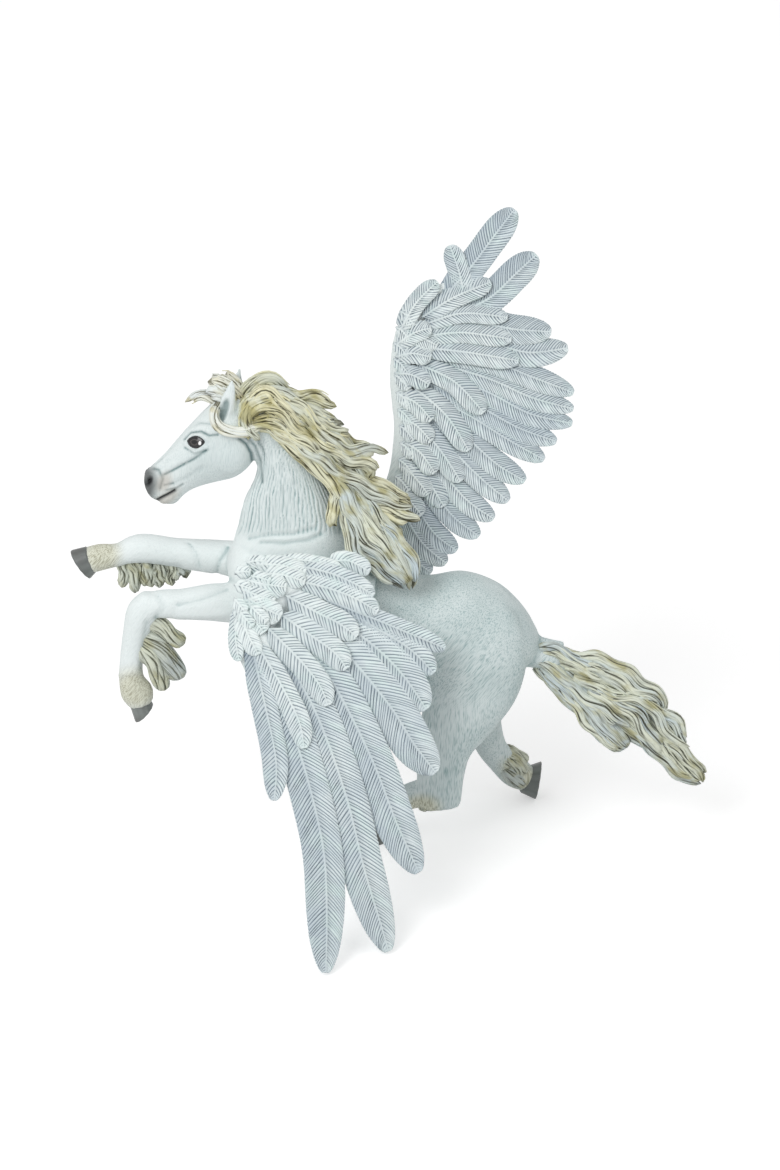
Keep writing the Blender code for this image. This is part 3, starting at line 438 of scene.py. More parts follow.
@dataclass(frozen=True)
class CoatVinyl:
    """The white coat, with a grey muzzle, fine hair strokes, and painted shade in its hollows and over its
    body.
    """

    name: str = "white_coat"
    white: Colour = (0.85, 0.905, 0.90)
    shade: Colour = (0.27, 0.39, 0.395)
    muzzle: Colour = (0.13, 0.14, 0.14)
    lip: Colour = (0.56, 0.53, 0.48)
    pastern: Colour = (0.68, 0.68, 0.54)
    umber: Colour = (0.34, 0.32, 0.20)
    dark: Colour = (0.02, 0.022, 0.024)
    roughness: float = 0.58
    hair_height: float = 0.00013

    def material(self) -> Finish:
        """Makes the finish.

        Returns:
            A material that reads the coat's recess, upright, pastern, muzzle, lip and dark attributes,
            and the one that sets how strong its painted shade is.
        """
        made, graph, shader = start_finish(self.name, self.roughness, VINYL_SHEEN)
        hair = graph.mix(graph.attribute("upright"), graph.grain(52.0, 4400.0, 360.0, 1.0),
                         graph.grain(88.0, 4400.0, 320.0, 1.0))
        # Painted shade in the creases, read from the surface's pointiness.
        creases = graph.add("ShaderNodeNewGeometry").outputs["Pointiness"]
        folds = graph.add("ShaderNodeMapRange", None,
                          {"Value": creases, "From Min": 0.5, "From Max": 0.44, "To Min": 0.0, "To Max": 1.0})
        # The cloudy mottle and hair strokes, scaled by the shade strength: real mottle, and painted shade
        # that is strongest on the body.
        cloudy = graph.math("MULTIPLY", graph.grain(50.0, 120.0, 60.0), 0.34)
        strokes = graph.math("MULTIPLY", graph.math("MAXIMUM", graph.math("SUBTRACT", 0.54, hair), 0.0), 1.3)
        mottle_and_shade = graph.math("MULTIPLY", graph.math("ADD", graph.math("ADD", cloudy, 0.075), strokes),
                             graph.attribute("shade_strength"))
        depth = graph.math("ADD", mottle_and_shade, graph.math("MAXIMUM", folds.outputs[0], graph.attribute("recess")))
        colour = graph.mix(graph.clamp(depth), self.white, self.shade)
        worn = graph.add("ShaderNodeMapRange", None, {"Value": hair, "From Min": 0.56, "From Max": 0.36})
        straw = graph.mix(worn.outputs[0], self.pastern, self.umber)
        colour = graph.mix(graph.attribute("pastern"), colour, straw)
        # The dark colour also carries painted shade from the face creases and the ear's hollow.
        for name, paint in (("lip", self.lip), ("muzzle", self.muzzle), ("dark", self.dark)):
            colour = graph.mix(graph.attribute(name), colour, paint)
        graph.link(colour, shader.inputs["Base Color"])
        graph.bump(shader, hair, self.hair_height)
        return made


@dataclass(frozen=True)
class EyePaint:
    """A glossy painted eye: a black ring and pupil around a dark brown iris."""

    name: str = "painted_eye"
    black: Colour = (0.006, 0.006, 0.007)
    iris: Colour = (0.060, 0.054, 0.052)
    roughness: float = 0.16

    def material(self) -> Finish:
        """Makes the finish, read outwards from the pupil's middle by the look attribute."""
        made, graph, shader = start_finish(self.name, self.roughness)
        ring = graph.add("ShaderNodeValToRGB", None, {"Fac": graph.attribute("look")})
        ramp = ring.color_ramp
        ramp.elements[0].position = 0.30
        ramp.elements[0].color = (*self.black, 1.0)
        ramp.elements[1].position = 0.37
        ramp.elements[1].color = (*self.iris, 1.0)
        for position, shade in ((0.46, self.iris), (0.54, self.black)):
            ramp.elements.new(position).color = (*shade, 1.0)
        graph.link(ring.outputs[0], shader.inputs["Base Color"])
        return made


@dataclass(frozen=True)
class PlainPaint:
    """One even paint, with its colour and gloss on the shader's own sockets."""

    name: str
    colour: Colour
    roughness: float

    def material(self) -> Finish:
        """Makes the finish."""
        made, _, shader = start_finish(self.name, self.roughness)
        shader.inputs["Base Color"].default_value = (*self.colour, 1.0)
        return made


@dataclass(frozen=True)
class FloorPaint:
    """A white floor that keeps the figure's soft shadow."""

    name: str = "pale_floor"
    colour: Colour = (0.80, 0.80, 0.80)
    glow: float = 0.42
    roughness: float = 0.9

    def material(self) -> Finish:
        """Makes the finish: paper white to the eye and in glossy surfaces, and duller to the other rays."""
        made, graph, shader = start_finish(self.name, self.roughness, 0.0)
        shader.inputs["Base Color"].default_value = (*self.colour, 1.0)
        shader.inputs["Emission Color"].default_value = (1.0, 1.0, 1.0, 1.0)
        graph.link(graph.math("MULTIPLY", graph.seen_directly(), self.glow),
                   shader.inputs["Emission Strength"])
        return made


# Each finish's second colour is its painted shade in recesses and grooves.
WHITE_PLUME = PaintedVinyl("white_plume", (0.83, 0.90, 0.89), (0.13, 0.18, 0.24), (0.66, 0.745, 0.775),
                           (0.74, 0.86, 0.84), 0.55)
STRAW_HAIR = PaintedVinyl("straw_hair", (0.79, 0.77, 0.54), (0.055, 0.050, 0.018), (0.64, 0.69, 0.62),
                          (0.42, 0.38, 0.14), 0.5, strand_strength=2.5)
PALE_HAIR = PaintedVinyl("pale_hair", (0.86, 0.86, 0.74), (0.15, 0.14, 0.08), (0.78, 0.83, 0.82),
                         (0.66, 0.61, 0.38), 0.5, strand_strength=1.5)
ASH_HAIR = PaintedVinyl("ash_hair", (0.72, 0.75, 0.62), (0.06, 0.062, 0.038), (0.55, 0.64, 0.67),
                        (0.40, 0.37, 0.15), 0.5, strand_strength=2.6)
FETLOCK_HAIR = PaintedVinyl("fetlock_hair", (0.67, 0.70, 0.58), (0.13, 0.135, 0.09), (0.52, 0.57, 0.55),
                            (0.42, 0.40, 0.20), 0.5, strand_strength=1.5)
DARK_HOOF = PaintedVinyl("charcoal_hoof", (0.215, 0.235, 0.225), (0.02, 0.02, 0.02), (0.06, 0.065, 0.065),
                         (0.13, 0.13, 0.125), 0.36, 90.0)
WHITE_COAT = CoatVinyl()
EYE_PAINT = EyePaint()
GLINT_PAINT = PlainPaint("eye_glint", (0.95, 0.95, 0.95), 0.2)


def mark(mesh: bpy.types.Mesh, name: str, values: Sequence[float]) -> None:
    """Keeps one number for each corner of a mesh, as an attribute."""
    mesh.attributes.new(name, "FLOAT", "POINT").data.foreach_set("value", np.asarray(values, "f"))


def add_object(name: str, data: bpy.types.ID) -> Piece:
    """Puts new data into the scene.

    Args:
        name: the object's name.
        data: its mesh, lamp or camera.

    Returns:
        The new object.
    """
    made = bpy.data.objects.new(name, data)
    bpy.context.scene.collection.objects.link(made)
    return made


class Skin:
    """Collects rows of rings into one mesh, with a number or two on each of its corners."""

    def __init__(self, name: str) -> None:
        self.name = name
        self.corners: list[np.ndarray] = []
        self.faces: list[tuple[int, ...]] = []
        self.marks: dict[str, list[np.ndarray]] = {
            "relief": [], "recess": [], "shade_strength": [], "tone": [], "lane": [], "run": []}
        self.count = 0

    def add_rings(self, rings: np.ndarray, relief: np.ndarray | float = 0.0, recess: np.ndarray | float = 0.0,
                  tone: float = 0.0, shade_strength: np.ndarray | float = 1.0) -> None:
        """Closes a stack of equal rings into a form.

        Args:
            rings: points in metres, shaped (rings, sides, 3).
            relief: how far each corner stands up, from -1 to 1.
            recess: how much painted shade each corner takes, from 0 to 1.
            tone: how much of the finish's tint the form has.
            shade_strength: how strongly its grooves take painted shade.
        """
        rows, sides = rings.shape[:2]
        order = np.arange(rows * sides).reshape(rows, sides) + self.count
        beside = np.roll(order, -1, axis=1)
        quads = np.stack([order[:-1], beside[:-1], beside[1:], order[1:]], axis=-1).reshape(-1, 4)
        self.faces.extend(map(tuple, quads.tolist()))
        self.faces.append(tuple(order[0][::-1].tolist()))
        self.faces.append(tuple(order[-1].tolist()))
        self.corners.append(rings.reshape(-1, 3))
        round_mm = np.linalg.norm(rings - np.roll(rings, 1, axis=1), axis=2).sum(axis=1).max() / MM
        lane = np.arange(sides) / sides * round_mm
        steps = np.linalg.norm(np.diff(rings.mean(axis=1), axis=0), axis=1) / MM
        run = np.concatenate([[0.0], np.cumsum(steps)])[:, None] + 71.0 * (len(self.corners) % 97)
        for key, value in (("relief", relief), ("recess", recess), ("shade_strength", shade_strength), ("tone", tone),
                           ("lane", lane),
                           ("run", run)):
            self.marks[key].append(np.broadcast_to(np.asarray(value, float), (rows, sides)).reshape(-1))
        self.count += rows * sides

    def piece(self) -> Piece:
        """Makes the mesh object.

        Returns:
            The object, shaded smooth, with its marks as point attributes.
        """
        mesh = bpy.data.meshes.new(self.name)
        mesh.from_pydata(np.concatenate(self.corners), [], self.faces)
        shell = bmesh.new()
        shell.from_mesh(mesh)
        wide = [face for face in shell.faces if len(face.verts) > 4]
        bmesh.ops.triangulate(shell, faces=wide)
        bmesh.ops.recalc_face_normals(shell, faces=shell.faces)
        shell.to_mesh(mesh)
        shell.free()
        for key, rows in self.marks.items():
            mark(mesh, key, np.concatenate(rows))
        mesh.shade_smooth()
        return add_object(self.name, mesh)


def start_tree(name: str, kinds: dict[str, str]) -> tuple[bpy.types.NodeTree, dict]:
    """Makes a Geometry Nodes tree with its geometry and its named inputs.

    Args:
        name: the tree's name.
        kinds: the kind of each input, by its name.

    Returns:
        The tree, and its input sockets by name.
    """
    tree = bpy.data.node_groups.new(name, "GeometryNodeTree")
    face = tree.interface
    face.new_socket("Geometry", in_out="OUTPUT", socket_type="NodeSocketGeometry")
    face.new_socket("Geometry", in_out="INPUT", socket_type="NodeSocketGeometry")
    sockets = {word: face.new_socket(word, in_out="INPUT", socket_type=f"NodeSocket{kind}")
               for word, kind in kinds.items()}
    return tree, sockets


class ReliefTree:
    """Geometry Nodes that raise ridges and press grooves where a piece's relief attribute says, and darken
    the grooves with painted shade.
    """

    def __init__(self) -> None:
        self.tree, self.inputs = start_tree("Carved relief", {
            "Relief Height": "Float", "Groove Shade": "Float", "Unevenness": "Float",
            "Seed": "Float", "Finish": "Material"})
        graph = Graph(self.tree)
        given = graph.add("NodeGroupInput").outputs
        relief = self.named(graph, "relief")
        noise = graph.seeded_noise(given["Seed"], 420.0)
        wobble = graph.math("MULTIPLY", graph.math("SUBTRACT", noise.outputs[0], 0.5), given["Unevenness"])
        lift = graph.math("MULTIPLY_ADD", relief, given["Relief Height"], wobble)
        outward = graph.add("ShaderNodeVectorMath", {"operation": "SCALE"},
                            {"Vector": graph.add("GeometryNodeInputNormal").outputs[0], "Scale": lift})
        moved = graph.add("GeometryNodeSetPosition", None,
                          {"Geometry": given["Geometry"], "Offset": outward.outputs[0]})
        # The grooves, scaled by the shade strength, add painted shade to the recess attribute.
        sunk = graph.math("MULTIPLY", graph.math("MAXIMUM", graph.math("MULTIPLY", relief, -1.0), 0.0),
                          self.named(graph, "shade_strength"))
        shade_strength = graph.math("MULTIPLY_ADD", sunk, given["Groove Shade"], self.named(graph, "recess"))
        kept = graph.add("GeometryNodeStoreNamedAttribute", {"data_type": "FLOAT", "domain": "POINT"}, {
            "Geometry": moved.outputs[0], "Name": "recess", "Value": graph.math("MINIMUM", shade_strength, 1.0)})
        graph.dress(kept.outputs[0], given["Finish"])

    @staticmethod
    def named(graph: Graph, name: str) -> Socket:
        """Reads a point attribute inside the tree."""
        node = graph.add("GeometryNodeInputNamedAttribute", {"data_type": "FLOAT"}, {"Name": name})
        return node.outputs["Attribute"]

    def carve(self, piece: Piece, height: float, shade_strength: float, unevenness: float, seed: float,
              finish: Finish) -> Piece:
        """Runs the tree on a piece and keeps the result as its plain mesh.

        Args:
            piece: a mesh object with relief and recess attributes.
            height: metres from the middle to the top of a ridge.
            shade_strength: how much painted shade the grooves take, from 0 to 1.
            unevenness: metres of slow rise and fall.
            seed: the noise's fixed seed.
            finish: the material of the result.

        Returns:
            The same object.
        """
        return apply_tree(piece, self.tree, self.inputs, {
            "Relief Height": height, "Groove Shade": shade_strength, "Unevenness": unevenness, "Seed": seed,
            "Finish": finish})


class StrandTree:
    """Geometry Nodes that sweep a thin round strand along every path of a piece."""

    def __init__(self) -> None:
        self.tree, self.inputs = start_tree("Swept strands", {
            "Strand Radius": "Float", "Strand Sides": "Int", "Wander": "Float",
            "Seed": "Float", "Finish": "Material"})
        graph = Graph(self.tree)
        given = graph.add("NodeGroupInput").outputs
        paths = graph.add("GeometryNodeMeshToCurve", None, {"Mesh": given["Geometry"]})
        noise = graph.seeded_noise(given["Seed"], 160.0)
        centred = graph.add("ShaderNodeVectorMath", {"operation": "SUBTRACT"},
                            {0: noise.outputs[1], 1: (0.5, 0.5, 0.5)})
        drift = graph.add("ShaderNodeVectorMath", {"operation": "SCALE"},
                          {"Vector": centred.outputs[0], "Scale": given["Wander"]})
        moved = graph.add("GeometryNodeSetPosition", None,
                          {"Geometry": paths.outputs[0], "Offset": drift.outputs[0]})
        along = graph.add("GeometryNodeSplineParameter").outputs["Factor"]
        bulge = graph.math("POWER", graph.math("SINE", graph.math(
            "MULTIPLY", graph.math("MULTIPLY_ADD", along, 0.86, 0.07), math.pi)), 0.6)
        sized = graph.add("GeometryNodeSetCurveRadius", None, {"Curve": moved.outputs[0], "Radius": bulge})
        ring = graph.add("GeometryNodeCurvePrimitiveCircle", {"mode": "RADIUS"},
                         {"Resolution": given["Strand Sides"], "Radius": given["Strand Radius"]})
        swept = graph.add("GeometryNodeCurveToMesh", None,
                          {"Curve": sized.outputs[0], "Profile Curve": ring.outputs[0], "Fill Caps": True})
        if "Scale" in swept.inputs:
            graph.link(bulge, swept.inputs["Scale"])
        smooth = graph.add("GeometryNodeSetShadeSmooth", None, {"Geometry": swept.outputs[0]})
        graph.dress(smooth.outputs[0], given["Finish"])

    def sweep(self, name: str, paths: list[list[Vector]], tones: list[float], radius: float, wander: float,
              seed: float, finish: Finish) -> Piece:
        """Makes one piece of strands.

        Args:
            name: the piece's name.
            paths: each strand's points in metres.
            tones: each strand's tone.
            radius: metres at the thickest place of a strand.
            wander: metres that a strand may stray.
            seed: the noise's fixed seed.
            finish: the material of the result.

        Returns:
            A mesh object.
        """
        corners = [point for path in paths for point in path]
        edges = []
        start = 0
        for path in paths:
            edges.extend((start + step, start + step + 1) for step in range(len(path) - 1))
            start += len(path)
        mesh = bpy.data.meshes.new(name)
        mesh.from_pydata(corners, edges, [])
        spread = [tone for path, tone in zip(paths, tones) for _ in path]
        mark(mesh, "tone", spread)
        mark(mesh, "recess", np.zeros(len(corners)))
        return apply_tree(add_object(name, mesh), self.tree, self.inputs, {
            "Strand Radius": radius, "Strand Sides": STRAND_SIDES, "Wander": wander, "Seed": seed,
            "Finish": finish})


def apply_tree(piece: Piece, tree: bpy.types.NodeTree, sockets: dict, values: dict) -> Piece:
    """Runs a Geometry Nodes tree on a piece and keeps the result as a plain mesh.

    Args:
        piece: the object that the tree starts from.
        tree: the tree.
        sockets: the tree's input sockets by name.
        values: the value of each input.

    Returns:
        The same object, with the new mesh and no modifier.
    """
    modifier = piece.modifiers.new(tree.name, "NODES")
    modifier.node_group = tree
    for name, value in values.items():
        modifier[sockets[name].identifier] = value
    bake(piece)
    return piece


def bake(piece: Piece) -> None:
    """Turns what a piece's modifiers make into its own mesh."""
    depsgraph = bpy.context.evaluated_depsgraph_get()
    mesh = bpy.data.meshes.new_from_object(piece.evaluated_get(depsgraph))
    piece.modifiers.clear()
    piece.data = mesh


def show(piece: Piece) -> Piece:
    """Lets a finished piece stand for the solid, and reports it.

    Args:
        piece: the finished mesh object.

    Returns:
        The same object.
    """
    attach(piece, "root")
    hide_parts(NODE)
    facets = sum(len(face.vertices) - 2 for face in piece.data.polygons)
    log.info("%s: %d triangles", piece.name, facets)
    return piece


@dataclass(frozen=True)
class WingSheet:
    """The curved sheet that one wing's feathers lie on."""

    root_rise: float
    root_depth: float
    slope: float
    twist: float
    twist_x: float

    def depth(self, x: float, rise: float) -> float:
        """Depth of the sheet behind a place of the drawing."""
        away = rise - self.root_rise
        return self.root_depth + self.slope * away - self.twist * (x - self.twist_x) * away / 100

    def point(self, x: float, rise: float) -> Vector:
        """A point on the sheet, in metres."""
        return SHEET.place(x, rise, self.depth(x, rise))

    def normal(self, x: float, rise: float) -> Vector:
        """The direction out of the sheet on the viewer's side."""
        along_x = self.point(x + 1, rise) - self.point(x - 1, rise)
        along_rise = self.point(x, rise + 1) - self.point(x, rise - 1)
        return along_x.cross(along_rise).normalized()


@dataclass(frozen=True)
class Feather:
    """One feather: its shaft's line on the wing, its width and how high it lies."""

    knots: tuple[Place, ...]
    width: float
    layer: float


def feather_rows(*rows: tuple) -> tuple[Feather, ...]:
    """Makes one feather from each row of its knots, width and layer."""
    return tuple(Feather(*row) for row in rows)


@dataclass
class Wing:
    """One wing's three layers of feathers, each with barbs on both sides of a raised shaft."""

    name: str
    sheet: WingSheet
    flights: tuple[Feather, ...]
    coverts: tuple[Feather, ...]
    small: tuple[Feather, ...]
    scales: tuple[Feather, ...]
    shingle: float
    rows_to_a_barb: int
    seed: int
    covert_shade: float
    small_shade: float
    scale_thickness: float = 1.2
    flight_thickness: float = 1.9
    covert_thickness: float = 1.7
    layer_step: float = 1.0
    barb_pitch: float = 0.98
    barb_lead: float = 1.05
    shaft_half: float = 0.24
    round_from: float = 0.72
    barb_height: float = 0.00023
    flight_shade: float = 1.08
    groove_shade: float = 1.75
    unevenness: float = 0.00012
    columns: tuple[float, ...] = (0.0, 0.1, 0.15, 0.42, 0.72, 0.94, 1.0)
    front: tuple[float, ...] = (0.80, 0.66, 0.50, 0.46, 0.34, 0.10, -0.14)
    back: tuple[float, ...] = (-0.92, -0.80, -0.66, -0.66, -0.60, -0.48, -0.40)

    def half_width(self, share: np.ndarray, width: float) -> np.ndarray:
        """Half of a feather's width, in millimetres, at shares of its length."""
        spread = 0.55 + 0.45 * np.sin(np.pi * np.minimum(share * 1.6, 0.5))
        closing = np.maximum(share - self.round_from, 0.0) / (1.0 - self.round_from)
        return width / 2 * spread * np.maximum(1.0 - closing ** 2.3, 0.0) ** 0.5

    def vane(self, skin: Skin, feather: Feather, thickness: float, shade_strength: float, tone: float,
             rng: random.Random) -> None:
        """Adds one feather, in rows that run from the shaft out along the barbs.

        Args:
            skin: the piece that the feather belongs to.
            feather: the feather.
            thickness: millimetres through the feather at its shaft.
            shade_strength: how strongly its grooves and shaded parts take painted shade.
            tone: how much of the finish's tint it has.
            rng: the wing's fixed random numbers.
        """
        table = np.linspace(0.0, 1.0, 120)
        drawn = spline(feather.knots, table)
        centres = np.array([self.sheet.point(x, rise) for x, rise in drawn])
        tangents = unit_rows(np.gradient(centres, axis=0))
        normals = np.array([self.sheet.normal(x, rise) for x, rise in drawn])
        normals = unit_rows(normals - tangents * np.sum(normals * tangents, axis=1, keepdims=True))
        sides = np.cross(tangents, normals)
        length = np.sum(np.linalg.norm(np.diff(centres, axis=0), axis=1)) / MM
        barbs = max(round(length / self.barb_pitch), 4)
        rows = barbs * self.rows_to_a_barb + 1
        gaps = np.repeat([rng.uniform(0.72, 1.3) for _ in range(barbs)], self.rows_to_a_barb)
        starts = 0.996 * np.concatenate([[0.0], np.cumsum(gaps)]) / gaps.sum()
        sweep = self.barb_lead * (1.0 + 0.14 * np.sin(starts * rng.uniform(5.0, 11.0)
                                                      + rng.uniform(0.0, 6.0)))
        lead = np.minimum(sweep * self.half_width(starts, feather.width) / length, 0.8 * (0.997 - starts))
        across = np.array([-u for u in reversed(self.columns[1:])] + list(self.columns))
        front = np.array(list(reversed(self.front[1:])) + list(self.front))
        back = np.array(list(reversed(self.back[1:])) + list(self.back))
        shares = starts[:, None] + lead[:, None] * np.abs(across)[None, :] ** 1.12
        half = np.maximum(self.half_width(shares, feather.width), 0.12)
        shaft = np.minimum(self.shaft_half, half * 0.35) * (1.0 - 0.45 * shares)
        size = np.abs(across)[None, :]
        lateral = np.where(size <= 0.1, shaft * size / 0.1, shaft + (half - shaft) * (size - 0.1) / 0.9)
        lateral = lateral * np.sign(across)[None, :]
        scale = thickness / self.flight_thickness
        taper = np.clip((1.0 - shares) / 0.10, 0.35, 1.0)

        def read(values: np.ndarray) -> np.ndarray:
            return np.stack([np.interp(shares, table, values[:, k]) for k in range(3)], axis=-1)

        base, side, up = read(centres), read(sides), read(normals)
        tilt = -lateral / np.maximum(half.max(), 1e-6) * self.shingle
        levels = [feather.layer * self.layer_step + tilt + profile[None, :] * scale * taper
                  for profile in (front, back)]
        faces = [base + side * (lateral[..., None] * MM) + up * (level[..., None] * MM) for level in levels]
        rings = np.concatenate([faces[0], faces[1][:, ::-1]], axis=1)
        cycle = {3: (-1.4, 0.62, 0.62), 4: (-1.5, 0.3, 0.85, 0.35)}[self.rows_to_a_barb]
        strengths = [[rng.uniform(0.35, 1.35) for _ in range(barbs + 1)] for _ in range(2)]
        phases = [rng.uniform(0.0, 6.0) for _ in range(barbs + 1)]
        wave = np.array([[cycle[row % self.rows_to_a_barb] * strengths[int(u < 0)][row // self.rows_to_a_barb]
                          * (0.85 + 0.4 * math.sin(5.0 * u + phases[row // self.rows_to_a_barb]))
                          for u in across] for row in range(rows)])
        fade = np.interp(np.abs(across), (0.0, 0.1, 0.15, 0.9, 1.0), (0.0, 0.0, 1.0, 0.9, 0.3))
        hush = np.clip((1.0 - starts) / 0.06, 0.25, 1.0)
        relief = wave * hush[:, None] * fade[None, :]
        # Painted shade: the half of each feather under its neighbour, its root, and the strips beside its
        # shaft.
        covered = np.clip(across * math.copysign(1.0, self.shingle), 0.0, 1.0) ** 0.6 * 0.26
        rooted = np.clip(0.22 - shares, 0.0, 0.22) * 1.5
        beside = np.interp(np.abs(across), (0.0, 0.1, 0.15, 0.42), (0.14, 0.16, 0.20, 0.03))
        shade = np.clip(covered[None, :] + rooted + beside[None, :], 0.0, 0.9) * shade_strength
        # How strongly the grooves take painted shade, most at mid length.
        paint = shade_strength * (0.55 + 0.45 * np.sin(np.pi * np.clip(shares * 1.05, 0.0, 1.0)) ** 0.7)
        skin.add_rings(rings, np.concatenate([relief, relief[:, ::-1]], axis=1),
                       np.concatenate([shade, shade[:, ::-1]], axis=1), tone + rng.uniform(-0.25, 0.25),
                       np.concatenate([paint, paint[:, ::-1]], axis=1))

    def build(self, carver: ReliefTree, finish: Finish) -> None:
        """Makes the wing's pieces.

        Args:
            carver: the relief tree.
            finish: the feathers' material.
        """
        rng = random.Random(self.seed)
        for word, feathers, thickness, shade_strength, tone in (
                ("flight_feathers", self.flights, self.flight_thickness, self.flight_shade, 0.55),
                ("covert_feathers", self.coverts, self.covert_thickness, self.covert_shade, 0.15),
                ("small_covert_feathers", self.small, self.covert_thickness, self.small_shade, -0.15),
                ("scale_feathers", self.scales, self.scale_thickness, self.small_shade, -0.2)):
            skin = Skin(f"{self.name}_{word}")
            for feather in feathers:
                self.vane(skin, feather, thickness, shade_strength, tone, rng)
            piece = carver.carve(skin.piece(), self.barb_height, self.groove_shade, self.unevenness, self.seed,
                                 finish)
            show(piece)


def lowered_wing() -> Wing:
    """The lowered left wing, which rests two feather tips on the floor."""
    second_tip, third_tip = (-15.9, -31.0), (-0.3, -26.2)
    root_rise, root_depth, tip_height = 70.0, -11.5, 0.7
    slope = (SHEET.depth_above_floor(second_tip[1], tip_height) - root_depth) / (second_tip[1] - root_rise)
    third_gain = (SHEET.depth_above_floor(third_tip[1], tip_height)
                  - root_depth - slope * (third_tip[1] - root_rise))
    twist = third_gain * 100 / ((third_tip[0] - second_tip[0]) * (root_rise - third_tip[1]))
    return Wing(
        name="lowered_wing",
        sheet=WingSheet(root_rise, root_depth, slope, twist, second_tip[0]),
        flights=feather_rows(
            (((-34.5, 50.0), (-30.7, 33.0), (-28.4, 21.0), (-28.7, 11.2)), 6.4, 0.6),
            (((-31.0, 48.0), (-25.3, 32.0), (-19.6, 13.0), (-16.2, -5.0), second_tip), 10.4, 0.2),
            (((-28.0, 50.0), (-18.5, 33.0), (-11.2, 13.0), (-6.3, -6.5), third_tip), 11.0, 0.0),
            (((-24.0, 54.0), (-13.5, 39.0), (-4.6, 21.5), (1.6, 5.5), (7.3, -6.9)), 10.8, -0.2),
            (((-21.0, 57.0), (-9.5, 46.0), (0.0, 34.5), (6.0, 25.0), (11.6, 17.8)), 11.0, -0.4),
            (((-17.0, 58.0), (-6.0, 51.0), (2.5, 43.0), (9.2, 33.5)), 9.4, -0.4),
            (((-14.0, 60.0), (-3.0, 53.5), (5.0, 48.5), (11.0, 42.5)), 7.2, -0.2),
            (((-16.0, 60.5), (-4.0, 56.0), (5.0, 52.3), (13.8, 48.7)), 5.6, 0.4),
        ),
        coverts=feather_rows(
            (((-37.0, 60.0), (-38.3, 52.0), (-37.5, 45.4)), 3.6, 0.8),
            (((-33.5, 50.0), (-27.0, 39.0), (-22.9, 30.5), (-21.6, 23.7)), 6.0, 1.4),
            (((-30.5, 53.5), (-22.5, 45.5), (-17.8, 39.5), (-15.6, 34.3)), 6.6, 1.3),
            (((-27.5, 57.0), (-19.5, 51.5), (-14.0, 47.5), (-10.8, 43.4)), 7.0, 1.2),
            (((-26.0, 61.5), (-18.5, 57.5), (-12.5, 54.5), (-8.3, 51.3)), 7.0, 1.3),
            (((-23.0, 65.0), (-16.0, 63.5), (-9.0, 61.0), (-3.0, 57.5)), 6.0, 1.5),
            (((-22.0, 68.5), (-15.0, 67.0), (-9.0, 64.5), (-4.0, 61.5)), 5.2, 2.0),
        ),
        small=feather_rows(
            (((-37.5, 60.5), (-34.5, 56.0), (-31.4, 52.0)), 6.6, 2.0),
            (((-35.5, 60.5), (-31.5, 58.0), (-27.0, 56.0)), 6.0, 2.4),
            (((-36.0, 64.8), (-31.0, 63.8), (-25.6, 63.2)), 6.2, 2.6),
            (((-33.5, 68.8), (-27.5, 68.7), (-20.8, 67.0)), 5.2, 2.2),
            (((-27.5, 70.2), (-20.5, 70.0), (-12.0, 68.4)), 3.6, 1.8),
            (((-36.5, 67.6), (-33.6, 68.4), (-31.0, 68.8)), 4.2, 1.8),
            (((-15.5, 69.5), (-10.5, 70.3), (-5.0, 67.5)), 5.0, 1.0),
            (((-31.5, 66.4), (-26.5, 66.2), (-21.0, 64.6)), 4.8, 2.5),
            (((-37.6, 56.8), (-35.4, 51.6), (-32.8, 46.6)), 4.6, 1.9),
            (((-37.0, 62.6), (-33.0, 61.0), (-28.6, 59.6)), 4.6, 2.6),
        ),
        scales=feather_rows(
            (((-38.6, 66.4), (-36.6, 66.8), (-34.4, 66.6)), 3.2, 2.9),
            (((-38.8, 63.6), (-36.8, 63.2), (-34.6, 62.4)), 3.2, 3.1),
            (((-38.8, 60.2), (-37.4, 58.6), (-36.0, 56.6)), 3.2, 2.8),
            (((-37.4, 57.0), (-36.0, 55.2), (-34.2, 53.2)), 3.2, 2.9),
            (((-34.8, 58.4), (-32.8, 56.4), (-30.6, 54.4)), 3.4, 3.1),
            (((-34.6, 65.6), (-32.2, 65.2), (-29.6, 64.4)), 3.4, 3.3),
            (((-35.6, 69.0), (-33.2, 69.6), (-30.4, 69.6)), 3.0, 2.6),
        ),
        shingle=0.45, rows_to_a_barb=4, seed=11, covert_shade=0.66, small_shade=0.36)


